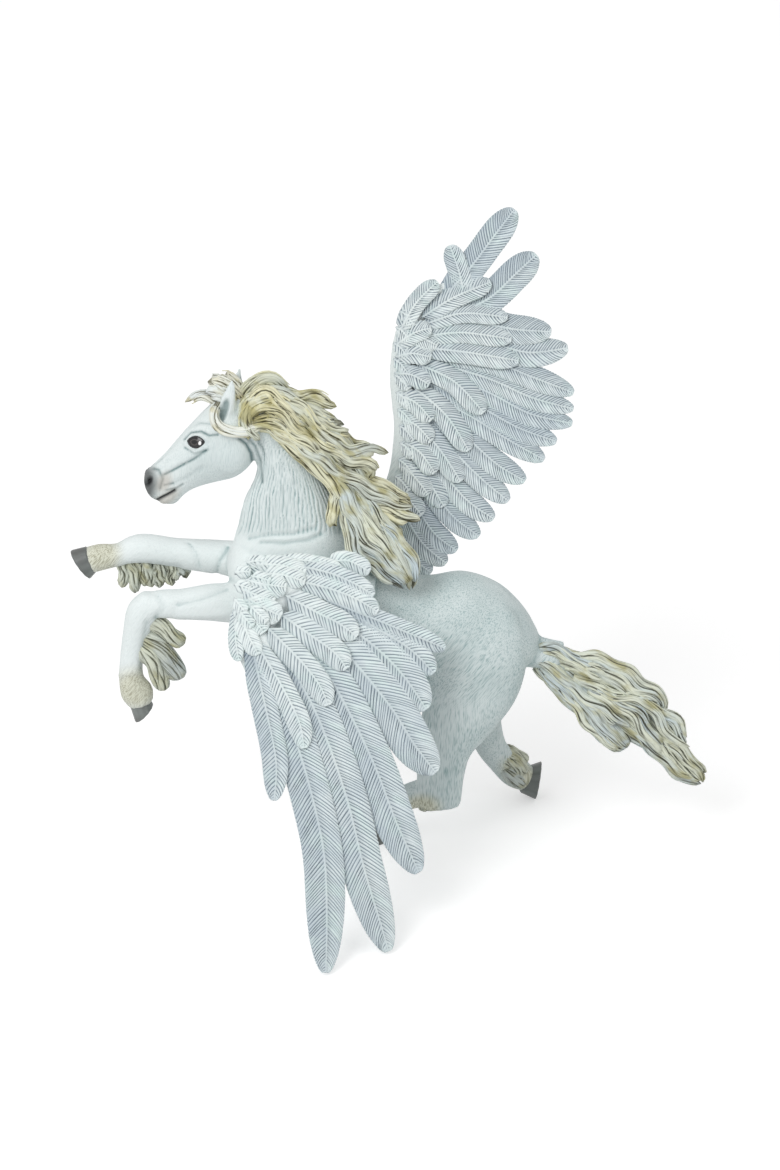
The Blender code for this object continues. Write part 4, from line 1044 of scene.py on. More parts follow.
def raised_wing() -> Wing:
    """The raised right wing."""
    return Wing(
        name="raised_wing",
        sheet=WingSheet(75.0, 8.0, 0.45, 0.0, 0.0),
        flights=feather_rows(
            (((13.0, 136.0), (20.5, 144.5), (26.5, 152.5), (31.3, 158.8)), 7.6, 0.6),
            (((15.0, 131.5), (25.0, 136.5), (31.5, 142.5), (36.8, 147.4)), 8.0, 0.3),
            (((8.0, 129.0), (22.0, 130.0), (32.0, 128.5), (40.6, 128.0)), 7.6, 0.1),
            (((7.5, 125.8), (24.0, 125.0), (35.0, 122.8), (44.8, 124.0)), 7.6, 0.0),
            (((6.0, 123.8), (24.0, 121.0), (36.0, 116.5), (46.2, 112.6)), 6.4, -0.1),
            (((6.0, 121.6), (24.0, 116.5), (35.5, 111.5), (46.2, 108.6)), 6.0, -0.2),
            (((5.2, 119.4), (23.0, 113.5), (35.0, 107.5), (45.9, 105.0)), 6.2, -0.3),
            (((5.0, 117.2), (21.0, 110.0), (32.0, 104.0), (41.9, 100.4)), 6.4, -0.2),
            (((5.0, 114.8), (19.0, 107.5), (29.5, 101.0), (38.8, 95.8)), 6.4, -0.1),
            (((7.5, 110.5), (17.0, 103.5), (26.5, 95.0), (34.0, 90.5)), 6.6, 0.0),
            (((7.0, 107.0), (15.0, 99.0), (22.5, 91.5), (29.8, 85.4)), 6.6, 0.1),
            (((6.0, 102.5), (12.0, 94.5), (19.0, 86.0), (26.1, 81.0)), 6.4, 0.2),
            (((5.0, 97.0), (9.5, 90.0), (15.5, 82.0), (22.4, 76.6)), 6.4, 0.3),
            (((3.0, 92.0), (6.5, 84.5), (11.0, 77.5), (16.8, 73.0)), 6.2, 0.4),
            (((0.5, 88.0), (4.5, 80.5), (8.5, 74.5), (14.2, 69.8)), 6.2, 0.6),
            (((-2.0, 85.0), (2.0, 77.5), (5.5, 71.5), (10.4, 67.4)), 6.4, 0.8),
        ),
        coverts=feather_rows(
            (((19.0, 134.5), (17.4, 142.5), (14.9, 149.7)), 5.4, 0.9),
            (((8.0, 131.5), (16.0, 136.5), (25.4, 140.4)), 5.6, 1.4),
            (((8.0, 129.5), (18.0, 132.5), (29.6, 131.5)), 5.0, 1.2),
            (((7.5, 126.5), (18.0, 127.7), (30.6, 126.0)), 5.4, 1.2),
            (((7.0, 124.0), (19.0, 122.8), (32.4, 120.6)), 6.0, 1.3),
            (((6.5, 120.0), (16.0, 115.5), (23.6, 107.5)), 6.2, 1.3),
            (((6.0, 114.0), (14.0, 107.0), (19.8, 98.0)), 6.2, 1.3),
            (((5.5, 106.0), (12.0, 99.0), (17.8, 90.3)), 6.2, 1.3),
            (((4.5, 98.0), (9.0, 91.5), (13.6, 84.0)), 5.8, 1.3),
        ),
        small=feather_rows(
            (((2.5, 128.0), (6.5, 135.0), (12.0, 140.5)), 5.0, 2.3),
            (((1.5, 124.5), (6.0, 127.5), (10.4, 128.8)), 5.2, 2.4),
            (((1.2, 121.5), (5.5, 122.4), (10.4, 121.4)), 5.2, 2.4),
            (((1.0, 117.5), (5.5, 117.0), (9.9, 114.5)), 5.2, 2.4),
            (((1.8, 112.0), (6.5, 110.0), (10.5, 105.6)), 5.4, 2.4),
            (((2.8, 106.0), (6.5, 104.4), (10.4, 100.3)), 5.2, 2.4),
            (((3.6, 100.0), (7.5, 97.6), (11.3, 92.4)), 5.4, 2.4),
            (((3.0, 94.0), (6.0, 91.6), (9.6, 87.0)), 5.2, 2.4),
            (((0.0, 89.5), (4.0, 86.4), (8.0, 81.8)), 5.2, 2.2),
            (((4.4, 127.8), (7.8, 126.4), (12.0, 124.4)), 5.2, 1.8),
        ),
        scales=tuple(Feather(((x + 0.8, rise + 1.5), (x + 2.6, rise + 0.3), (x + 4.6, rise - 2.3)), 3.6,
                             layer)
                     for x, rise, layer in (
                         (1.6, 131.6, 2.4), (0.6, 127.6, 2.5), (0.0, 123.6, 2.6), (0.0, 119.6, 2.6),
                         (0.2, 115.6, 2.6), (0.6, 111.2, 2.6), (1.0, 107.0, 2.6), (1.4, 102.8, 2.6),
                         (1.5, 98.6, 2.6), (1.1, 94.4, 2.5), (0.2, 90.2, 2.5))),
        shingle=-0.45, rows_to_a_barb=3, barb_pitch=0.78, seed=23, covert_shade=0.9, small_shade=0.75)


@dataclass(frozen=True)
class Lock:
    """One lock of hair: its line, its half width and how many wisps it is made of."""

    knots: tuple[Place, ...]
    half_width: float
    wisps: int = 3
    blunt: float = 0.34
    wave: float = 0.20


@dataclass
class HairPiece:
    """A head of moulded hair: locks of ridged wisps, with loose strands over them."""

    name: str
    locks: tuple[Lock, ...]
    seed: int
    core: tuple[Place, ...] = ()
    body: tuple[Lock, ...] = ()
    flatness: float = 0.66
    strand_pitch: float = 0.82
    station_pitch: float = 0.95
    wave_length: float = 9.0
    groove_depth: float = 0.00030
    strand_radius: float = 0.26
    loose_strands: int = 2
    core_stations: int = 56
    groove_shade: float = 1.7
    unevenness: float = 0.00018
    wander: float = 0.0008

    def wisp(self, skin: Skin, centres: np.ndarray, flat: np.ndarray, deep: np.ndarray, widths: np.ndarray,
             depths: np.ndarray, outward: np.ndarray, rng: random.Random) -> None:
        """Adds one ridged wisp.

        Args:
            skin: the piece that the wisp belongs to.
            centres: its middle line's points, in metres.
            flat: unit rows across it in the picture plane.
            deep: unit rows across it in depth.
            widths: half its width at each point, in millimetres.
            depths: half its depth at each point, in millimetres.
            outward: the angle at each point that faces out of the lock.
            rng: the hair's fixed random numbers.
        """
        grooves = max(round(math.pi * (widths.max() + depths.max()) / self.strand_pitch), 5)
        pitch = 2 * math.pi / grooves
        turn = circle(grooves * 5)
        share = np.linspace(0.0, 1.0, len(centres))[:, None]
        angle = turn[None, :] + rng.uniform(0.5, 1.2) * rng.choice((-1, 1)) * share
        bulge = 1.0 + 0.09 * np.sin(share * rng.uniform(7.0, 12.0) + 2.0 * turn[None, :]
                                    + rng.uniform(0.0, 6.0))
        rings = (centres[:, None] + flat[:, None] * (np.cos(angle) * bulge * widths[:, None])[..., None] * MM
                 + deep[:, None] * (np.sin(angle) * bulge * depths[:, None])[..., None] * MM)
        cut = np.zeros(angle.shape)
        for index in range(grooves):
            line = pitch * (index + rng.uniform(-0.3, 0.3)) + pitch * rng.uniform(0.2, 0.7) * np.sin(
                share * rng.uniform(3.0, 10.0) + rng.uniform(0.0, 6.0))
            away = (turn[None, :] - line + math.pi) % (2 * math.pi) - math.pi
            strength = rng.uniform(0.5, 1.25) * (0.7 + 0.45 * np.sin(share * rng.uniform(4.0, 12.0)
                                                                     + rng.uniform(0.0, 6.0)))
            cut = np.maximum(cut, strength * np.exp(-(away / pitch / 0.26) ** 2))
        fade = np.clip(widths / 0.8, 0.3, 1.0)[:, None]
        # Painted shade: the side of each wisp that faces into its lock, and its grooves, darken towards the
        # recess colour.
        inside = np.clip(-np.cos(angle - outward[:, None]), 0.0, 1.0) ** 1.5
        skin.add_rings(rings, (0.5 - 1.75 * cut) * fade, np.clip(0.85 * inside + 0.25 * cut, 0.0, 0.95),
                       rng.uniform(-0.3, 0.8), np.broadcast_to(rng.uniform(0.7, 1.1), rings.shape[:2]))

    def lock(self, skin: Skin, lock: Lock, strands: list[list[Vector]], rng: random.Random) -> None:
        """Adds one lock's wisps, and the paths of the loose strands over it.

        Args:
            skin: the piece that the lock belongs to.
            lock: the lock.
            strands: the list that the loose strands' paths are added to.
            rng: the hair's fixed random numbers.
        """
        drawn = np.array(spline(lock.knots, np.linspace(0.0, 1.0, 24)))
        length = float(np.sum(np.linalg.norm(np.diff(drawn[:, :2], axis=0), axis=1)))
        stations = max(round(length / self.station_pitch), 9)
        _, centres, flat, deep = frames_along(lock.knots, stations)
        share = np.linspace(0.0, 1.0, stations)
        phase = rng.uniform(0.0, 2 * math.pi)
        ripple = np.sin(share * length / self.wave_length * 2 * math.pi + phase) * lock.wave * lock.half_width
        centres = centres + flat * (ripple * np.sin(np.pi * share) ** 0.5)[:, None] * MM
        swell = 0.55 + 0.45 * np.sin(np.pi * np.minimum(share * 1.8, 0.5))
        closing = np.sqrt(np.clip(1.0 - (np.maximum(share - 0.45, 0.0) / 0.55) ** 2, 0.0, 1.0))
        whole = lock.half_width * swell * (closing * (1.0 - lock.blunt) + lock.blunt)
        start = rng.uniform(0.0, 2 * math.pi)
        ring = 0.48 if lock.wisps > 1 else 0.0
        for index in range(lock.wisps):
            end = 1.0 if index == 0 else rng.uniform(0.84, 0.98)
            turn = start + 2 * math.pi * index / lock.wisps + share * rng.uniform(0.9, 2.0)
            spread = whole * ring * (0.8 + 0.3 * np.sin(share * 11 + index * 2 + phase))
            middle = (centres + flat * (np.cos(turn) * spread)[:, None] * MM
                      + deep * (np.sin(turn) * spread * self.flatness)[:, None] * MM)
            keep = share <= end
            rounded = min(max(lock.half_width * lock.blunt / length, 0.10), 0.40)
            closed = np.maximum(share / end - 1.0 + rounded, 0.0) / rounded
            tip = np.sqrt(np.clip(1.0 - closed ** 2, 0.02, 1.0))
            wide = whole * (0.60 if lock.wisps > 1 else 1.0) * tip
            if lock.wisps == 1:
                turn = np.full(stations, -math.pi / 2)
            self.wisp(skin, middle[keep], flat[keep], deep[keep], wide[keep], (wide * 0.85)[keep],
                      turn[keep], rng)
        for _ in range(self.loose_strands):
            first = rng.uniform(0.0, 0.25)
            last = rng.uniform(0.8, 0.96)
            turn = rng.uniform(0.0, 2 * math.pi) + share * rng.uniform(-1.4, 1.4)
            spots = (centres + flat * (np.cos(turn) * whole * 0.96)[:, None] * MM
                     + deep * (np.sin(turn) * whole * self.flatness)[:, None] * MM)
            path = [Vector(spot) for spot, s in zip(spots, share) if first <= s <= last]
            if len(path) > 4:
                strands.append(path)

    def build(self, carver: ReliefTree, sweeper: StrandTree, finish: Finish) -> None:
        """Makes the hair's pieces.

        Args:
            carver: the relief tree.
            sweeper: the strand tree.
            finish: the hair's material.
        """
        rng = random.Random(self.seed)
        strands: list[list[Vector]] = []
        skins = []
        if self.core:
            skins.append(Skin(f"{self.name}_body"))
            reads, centres, flat, deep = frames_along(self.core, self.core_stations)
            outward = np.full(self.core_stations, -math.pi / 2)
            self.wisp(skins[0], centres, flat, deep, reads[:, 3], reads[:, 4], outward, rng)
            for lock in self.body:
                self.lock(skins[0], lock, strands, rng)
        skins.append(Skin(f"{self.name}_locks"))
        for lock in self.locks:
            self.lock(skins[-1], lock, strands, rng)
        for skin in skins:
            show(carver.carve(skin.piece(), self.groove_depth, self.groove_shade, self.unevenness, self.seed,
                              finish))
        if strands:
            tones = [rng.uniform(-0.3, 0.7) for _ in strands]
            loose = sweeper.sweep(f"{self.name}_strands", strands, tones, self.strand_radius * MM,
                                  self.wander,
                                  self.seed, finish)
            show(loose)


def mane_hair() -> HairPiece:
    """The mane blown back from the crest."""
    near = -5.0
    locks = [
        Lock(((-37.0, 104.8, -1), (-36.2, 109.6, -1), (-33.8, 113.8, -0.8), (-29.8, 115.2, 0),
              (-26.0, 113.0, 0.4),
              (-22.6, 110.4, 0.8)), 2.1, 4, wave=0.1),
        Lock(((-28.4, 112.6, 0), (-23.6, 111.4, -0.4), (-19.0, 111.0, -0.4), (-15.6, 109.8, 0),
              (-13.2, 108.8, 0.2)), 1.9, blunt=0.7),
        Lock(((-26.0, 110.4, -1), (-21.4, 108.4, -2), (-17.8, 106.8, -2), (-14.0, 105.2, -1.4),
              (-11.2, 104.6, -0.8)), 1.7, blunt=0.6),
        Lock(((-23.0, 107.6, -2), (-18.6, 105.4, -2.6), (-14.0, 102.8, -2), (-9.8, 101.8, -1)), 1.8,
             blunt=0.6),
        Lock(((-36.4, 107.0, -2), (-33.8, 110.6, near * 0.8), (-30.4, 112.0, near * 0.8),
              (-27.2, 109.4, near),
              (-24.0, 106.0, near), (-21.0, 103.2, near * 0.9)), 1.8),
        Lock(((-34.8, 106.0, near * 0.9), (-31.6, 108.6, near * 1.05), (-28.2, 107.8, near * 1.1),
              (-25.4, 104.6, near * 1.15), (-22.2, 101.4, near * 1.1), (-18.4, 98.4, near)), 2.0),
        Lock(((-29.0, 111.0, near * 0.6), (-24.4, 109.6, near * 0.8), (-20.6, 106.4, near * 0.9),
              (-17.4, 102.8, near * 0.9), (-14.4, 100.4, near * 0.9)), 1.8),
        Lock(((-21.6, 105.8, near * 0.7), (-17.6, 102.6, near * 0.9), (-14.2, 99.4, near),
              (-10.8, 97.6, near),
              (-7.4, 97.6, near * 0.8), (-4.0, 98.0, near * 0.4), (-0.6, 97.2, 0)), 2.1, blunt=0.55),
        Lock(((-18.6, 101.4, near), (-14.4, 98.0, near * 1.1), (-10.2, 95.8, near), (-6.6, 94.8, near * 0.8),
              (-3.9, 92.8, near * 0.7), (-4.6, 90.4, near * 0.7)), 2.1, blunt=0.6),
        Lock(((-34.4, 103.6, near * 1.1), (-30.6, 103.8, near * 1.25), (-26.8, 101.6, near * 1.3),
              (-22.8, 99.0, near * 1.3), (-19.4, 95.6, near * 1.2), (-18.4, 92.6, near * 1.2)), 1.6,
              blunt=0.5),
        Lock(((-30.4, 105.6, near * 1.1), (-26.6, 103.8, near * 1.25), (-23.0, 100.6, near * 1.3),
              (-18.8, 98.2, near * 1.3), (-15.4, 95.2, near * 1.2)), 1.8),
        Lock(((-24.6, 101.2, near * 1.2), (-20.2, 97.6, near * 1.3), (-16.2, 94.6, near * 1.3),
              (-12.6, 92.0, near * 1.2), (-8.6, 90.4, near * 1.1), (-5.2, 88.8, near)), 2.1),
        Lock(((-17.0, 95.4, near), (-12.4, 92.4, near * 1.2), (-7.8, 89.6, near * 1.2),
              (-3.0, 87.2, near * 1.1),
              (1.2, 84.8, near), (5.6, 84.2, near * 0.8)), 2.1, blunt=0.6),
        Lock(((-9.0, 92.4, near * 0.6), (-4.0, 90.0, near * 0.7), (-0.4, 88.0, near * 0.7),
              (3.0, 86.4, near * 0.7),
              (5.6, 84.8, near * 0.7)), 1.8, blunt=0.6),
        Lock(((-9.0, 88.6, near), (-5.0, 85.6, near), (-1.0, 82.6, near), (3.4, 81.4, near),
              (7.4, 80.2, near)),
             2.0, blunt=0.6),
        Lock(((-7.0, 86.4, near * 0.9), (-3.4, 82.8, near), (0.4, 79.2, near), (2.9, 76.9, near)), 2.0,
             blunt=0.5),
        Lock(((-12.4, 89.4, near * 1.1), (-13.2, 86.2, near * 1.3), (-14.4, 82.8, near * 1.45),
              (-14.6, 80.4, near * 1.5), (-13.4, 78.9, near * 1.5)), 1.6, 3, 0.6, 0.1),
        Lock(((-34.0, 110.4, near * 0.85), (-35.6, 107.4, near * 1.05), (-35.8, 104.8, near * 1.15),
              (-34.2, 101.8, near * 1.25), (-32.2, 100.2, near * 1.3)), 1.8, 3, 0.5, 0.1),
    ]
    behind = (
        (((-33.0, 108.0, 0.9), (-26.5, 108.6, 1.0), (-22.0, 104.0, 1.0), (-15.5, 102.4, 0.8),
          (-9.5, 98.6, 0.5),
          (-4.0, 98.2, 0.2)), 2.8),
        (((-33.0, 104.6, 1.0), (-27.0, 105.0, 1.1), (-21.5, 100.8, 1.1), (-15.0, 98.6, 1.0),
          (-9.0, 95.6, 0.8),
          (-3.6, 93.6, 0.6)), 2.7),
        (((-35.0, 102.8, 1.0), (-28.5, 101.8, 1.1), (-22.5, 99.4, 1.1), (-17.0, 95.6, 1.1),
          (-10.5, 92.6, 1.0),
          (-4.0, 88.4, 1.0), (2.0, 84.6, 1.0), (7.6, 81.5, 1.0)), 2.6),
    )
    for knots, half_width in behind:
        locks.append(Lock(tuple((x, rise, -near * share) for x, rise, share in knots), half_width, 4))
    core = ((-36.0, 109.0, 0, 2.8, 2.6), (-31.0, 109.5, 0, 4.6, 4.0), (-24.0, 106.0, 0, 4.9, 4.4),
            (-16.0, 100.5, 0, 5.0, 4.2), (-10.0, 93.0, -1, 4.4, 3.9), (-6.0, 85.0, -3.2, 4.0, 3.6),
            (-3.0, 77.5, -6.6, 4.0, 2.9), (1.0, 70.5, -9.3, 3.0, 2.2), (4.6, 65.4, -11.0, 1.3, 1.2))
    body = (
        Lock(((-36.6, 105.6, near * 0.5), (-33.4, 109.6, near * 0.6), (-28.6, 110.4, near * 0.65),
              (-24.0, 107.8, near * 0.65), (-19.6, 104.4, near * 0.65)), 3.2, 1, 0.7, 0.05),
        Lock(((-33.6, 104.0, near * 0.9), (-28.8, 104.4, near), (-24.2, 101.8, near), (-19.6, 97.8, near),
              (-16.0, 94.0, near)), 2.9, 1, 0.7, 0.05),
        Lock(((-27.0, 101.0, near), (-21.6, 97.4, near), (-17.0, 93.2, near * 1.05),
              (-13.8, 89.6, near * 1.1),
              (-11.4, 85.6, near * 1.3)), 2.5, 1, 0.7, 0.05),
    )
    return HairPiece("mane", tuple(locks), seed=5, core=core, body=body)


def forelock_hair() -> HairPiece:
    """The forelock blown forward from the poll, and the strand round the near ear."""
    near = -5.0
    return HairPiece("forelock", (
        Lock(((-37.4, 107.8, -1), (-39.8, 112.2, -1.5), (-42.8, 114.6, -1.5), (-45.0, 114.9, -1.5)), 2.5, 4,
             0.6, 0.1),
        Lock(((-37.8, 107.6, -1.5), (-40.6, 110.6, -2.5), (-43.4, 112.4, -2.5), (-45.4, 112.0, -2.2)), 2.0,
             3, 0.6,
             0.1),
        Lock(((-36.4, 109.0, 0.5), (-38.0, 113.2, 0), (-40.2, 115.6, -0.5), (-42.6, 116.2, -1)), 2.1, 3, 0.6,
             0.1),
        Lock(((-37.0, 107.0, 2), (-39.6, 112.0, 2), (-43.2, 114.0, 1.2)), 2.3, 4, 0.6, 0.1),
        Lock(((-39.6, 109.0, -1), (-43.8, 110.6, -1.5), (-47.6, 111.2, -1.5), (-50.6, 109.6, -1.5)), 1.4, 3,
             0.5),
        Lock(((-31.6, 103.6, near * 1.0), (-35.6, 102.4, near * 1.3), (-39.4, 102.5, near * 1.35),
              (-42.2, 103.8, near * 1.25), (-43.4, 106.2, near * 1.05), (-43.0, 108.8, near * 0.75),
              (-41.4, 111.0, near * 0.5)), 1.5, 4, 0.6, 0.08),
    ), seed=8, strand_pitch=0.7)


def mane_end_hair() -> HairPiece:
    """The mane's lower stream, which hangs over the lowered wing's root."""
    near = -5.0
    return HairPiece("mane_end", (
        Lock(((-13.6, 91.6, near * 1.15), (-11.2, 87.4, near * 1.3), (-9.2, 83.0, near * 1.5),
              (-7.2, 78.0, near * 1.75), (-3.6, 73.4, near * 1.95), (0.4, 69.6, near * 2.1),
              (3.4, 65.8, near * 2.15), (4.6, 63.2, near * 2.15)), 2.4, 4),
        Lock(((-11.0, 87.0, near * 1.25), (-10.6, 81.8, near * 1.5), (-9.8, 76.6, near * 1.8),
              (-7.6, 72.2, near * 2.0), (-3.8, 68.8, near * 2.15), (0.2, 65.6, near * 2.25),
              (3.4, 63.6, near * 2.25)), 2.1),
        Lock(((-5.6, 85.6, near * 1.15), (-2.2, 80.4, near * 1.35), (1.4, 76.2, near * 1.55),
              (4.4, 71.8, near * 1.75), (6.0, 67.2, near * 1.95), (5.6, 63.6, near * 2.05)), 2.0, 4),
        Lock(((-8.4, 84.0, near * 1.5), (-5.2, 79.2, near * 1.8), (-2.2, 74.8, near * 2),
              (1.2, 70.8, near * 2.1),
              (3.4, 66.6, near * 2.2)), 1.7),
    ), seed=6)


def tail_hair() -> HairPiece:
    """The tail that streams out behind in crossing, curling locks."""
    spread = 3.0
    locks = (
        (((36.0, 49.0, -0.6), (41.0, 48.4, -1.0), (45.4, 46.4, -1.2), (49.6, 43.0, -1.2),
          (54.6, 41.4, -1.0)), 1.9),
        (((42.0, 47.0, -0.4), (48.0, 46.4, -0.8), (53.4, 45.8, -1.0), (58.4, 42.8, -1.1), (62.8, 39.6, -1.1),
          (66.6, 37.6, -1.0), (68.8, 34.8, -0.9), (68.2, 32.0, -0.8)), 2.1),
        (((44.0, 44.0, -0.8), (50.0, 43.8, -1.2), (55.0, 42.2, -1.3), (59.6, 38.6, -1.3), (64.0, 36.8, -1.3),
          (67.4, 34.6, -1.2)), 1.9),
        (((37.0, 45.6, -0.8), (42.0, 42.6, -1.1), (46.6, 38.0, -1.2), (51.4, 34.6, -1.25), (56.0, 31.4, -1.3),
          (60.4, 28.6, -1.3)), 2.2),
        (((36.6, 44.4, -0.4), (41.4, 40.4, -0.9), (46.6, 34.8, -1.0), (50.6, 29.6, -1.1), (54.8, 25.2, -1.1),
          (59.2, 23.2, -0.9)), 2.2),
        (((50.0, 38.6, -1.2), (55.4, 36.2, -1.35), (60.4, 32.8, -1.4), (64.4, 28.6, -1.4), (67.2, 24.4, -1.3),
          (70.6, 20.6, -1.1)), 2.2),
        (((46.0, 41.4, -1.1), (52.0, 38.6, -1.3), (57.6, 36.4, -1.4), (62.6, 36.0, -1.4), (66.6, 32.6, -1.4),
          (69.4, 28.0, -1.3), (72.6, 24.8, -1.1), (75.4, 23.8, -0.8)), 1.7),
        (((62.0, 35.0, -0.8), (67.4, 33.2, -1.0), (71.4, 30.4, -1.0), (73.6, 26.8, -0.9),
          (74.6, 24.2, -0.7)), 1.8),
        (((60.0, 30.0, -1.0), (65.4, 24.4, -1.2), (69.4, 19.8, -1.0), (74.0, 16.4, -0.7),
          (78.8, 14.6, -0.3)), 1.9),
        (((66.0, 28.0, -0.6), (71.4, 24.2, -0.9), (75.4, 20.8, -0.7), (78.2, 17.2, -0.4),
          (79.2, 14.8, -0.2)), 1.9),
        (((38.0, 47.2, 0.8), (46.0, 45.2, 1.1), (54.0, 42.6, 1.2), (62.0, 38.6, 1.1), (68.4, 34.0, 0.8)),
         3.0),
        (((38.0, 45.6, 1.0), (46.0, 40.0, 1.2), (53.0, 33.4, 1.2), (58.4, 25.4, 0.8)), 3.0),
        (((44.0, 43.0, 1.2), (52.0, 38.0, 1.4), (60.0, 32.6, 1.4), (67.0, 25.6, 1.2), (74.4, 19.6, 0.6)),
         3.2),
        (((50.0, 40.6, 0.9), (58.0, 37.4, 1.2), (66.0, 32.6, 1.1), (73.4, 26.0, 0.4)), 2.6),
    )
    core = ((34.0, 48.4, 0, 3.0, 2.6), (37.0, 47.3, 0, 3.2, 2.8), (44.0, 44.2, 0, 4.4, 3.0),
            (52.0, 38.4, 0, 6.0, 3.3), (60.0, 32.8, 0, 6.2, 3.4), (67.0, 27.4, 0, 5.0, 3.0),
            (73.0, 21.4, 0, 3.0, 2.2), (77.6, 16.4, 0, 1.2, 1.0))
    body = (
        Lock(((38.0, 44.6, -1.0), (44.0, 39.8, -1.6), (50.0, 33.6, -1.8), (55.0, 28.2, -1.6),
              (60.0, 23.8, -1.0)),
             3.7, 1, 0.8, 0.05),
        Lock(((40.0, 47.0, -0.8), (47.0, 45.0, -1.4), (54.0, 41.6, -1.6), (61.0, 38.0, -1.4),
              (67.0, 33.6, -1.0)),
             3.0, 1, 0.8, 0.05),
        Lock(((54.0, 36.0, -1.2), (61.0, 31.0, -1.4), (67.0, 25.6, -1.2), (72.6, 20.2, -0.8),
              (78.6, 15.2, -0.4)),
             3.4, 1, 0.5, 0.05),
    )
    return HairPiece("tail", tuple(Lock(tuple((x, rise, spread * share) for x, rise, share in knots), half,
                                        blunt=0.5) for knots, half in locks), seed=7, core=core, body=body)


def fetlock_hair() -> HairPiece:
    """The short locks behind the cannons and at the fetlocks."""
    near, far = -FORELEG_DEPTH, FORELEG_DEPTH
    locks = [
        Lock(((-63.0, 56.6, near), (-58.4, 55.0, near), (-54.6, 52.0, near), (-51.4, 49.8, near)), 2.1, 1,
             0.95,
             0.05),
        Lock(((-62.6, 52.4, near), (-58.2, 49.4, near), (-54.8, 45.4, near), (-52.8, 40.8, near)), 2.5, 1,
             0.95,
             0.05),
        Lock(((-62.6, 49.0, near - 1), (-59.6, 45.6, near - 1), (-57.8, 41.8, near - 1),
              (-56.4, 38.2, near - 1)),
             2.1, 1, 0.95, 0.05),
        Lock(((-62.6, 53.6, near + 1.8), (-59.0, 50.4, near + 1.8), (-56.2, 47.0, near + 1.8)), 2.4, 1, 0.9,
             0.05),
        Lock(((9.8, 12.0, -6.5), (9.3, 9.5, -6.5), (9.0, 7.2, -6.0)), 2.9, 3),
        Lock(((28.6, 23.0, 18.8), (31.8, 21.3, 20.6), (35.0, 19.2, 22.4)), 1.7, 1, 0.9, 0.05),
        Lock(((28.4, 20.6, 16.9), (31.6, 18.8, 19.0), (34.8, 16.6, 20.9)), 2.0, 1, 0.9, 0.05),
        Lock(((29.2, 17.8, 17.4), (31.9, 15.2, 19.4), (33.9, 12.9, 21.3)), 1.7, 1, 0.9, 0.05),
    ]
    fringe = ((-67.0, -67.6, 64.0), (-64.5, -64.0, 62.4), (-61.3, -60.3, 63.9), (-58.2, -57.2, 64.0),
              (-55.0, -54.2, 64.4), (-52.3, -51.2, 66.2))
    for root_x, tip_x, tip_rise in fringe:
        locks.append(Lock(((root_x, 71.0, far), (root_x + 0.4, 67.5, far), (tip_x, tip_rise, far - 0.5)),
                          2.2, 2,
                          0.8, 0.1))
    return HairPiece("fetlock", tuple(locks), seed=9, station_pitch=0.6, loose_strands=1, strand_pitch=0.7)


@dataclass(frozen=True)
class Crease:
    """A line pressed into the coat, or raised from it where the depth is less than nothing, with painted
    shade along it.
    """

    path: tuple[Place, ...]
    width: float
    depth: float
    # How much painted shade lies along the line.
    stain_and_shade: float = 0.5


@dataclass(frozen=True)
class Spot:
    """An oval painted or pressed place on the coat."""

    x: float
    rise: float
    long: float
    short: float
    turn: float
    press: float = 0.0

    def cover(self, spots: np.ndarray, soft: float = 0.35) -> np.ndarray:
        """How much of each place the oval covers.

        Args:
            spots: rows of x and rise.
            soft: the soft rim's share of the oval's size.

        Returns:
            One share for each row, from 0 to 1.
        """
        angle = math.radians(self.turn)
        away = spots - np.array([self.x, self.rise])
        along = (away[:, 0] * math.cos(angle) + away[:, 1] * math.sin(angle)) / self.long
        across = (-away[:, 0] * math.sin(angle) + away[:, 1] * math.cos(angle)) / self.short
        return 1.0 - smooth_step(np.hypot(along, across), 1.0 - soft, 1.0 + soft)


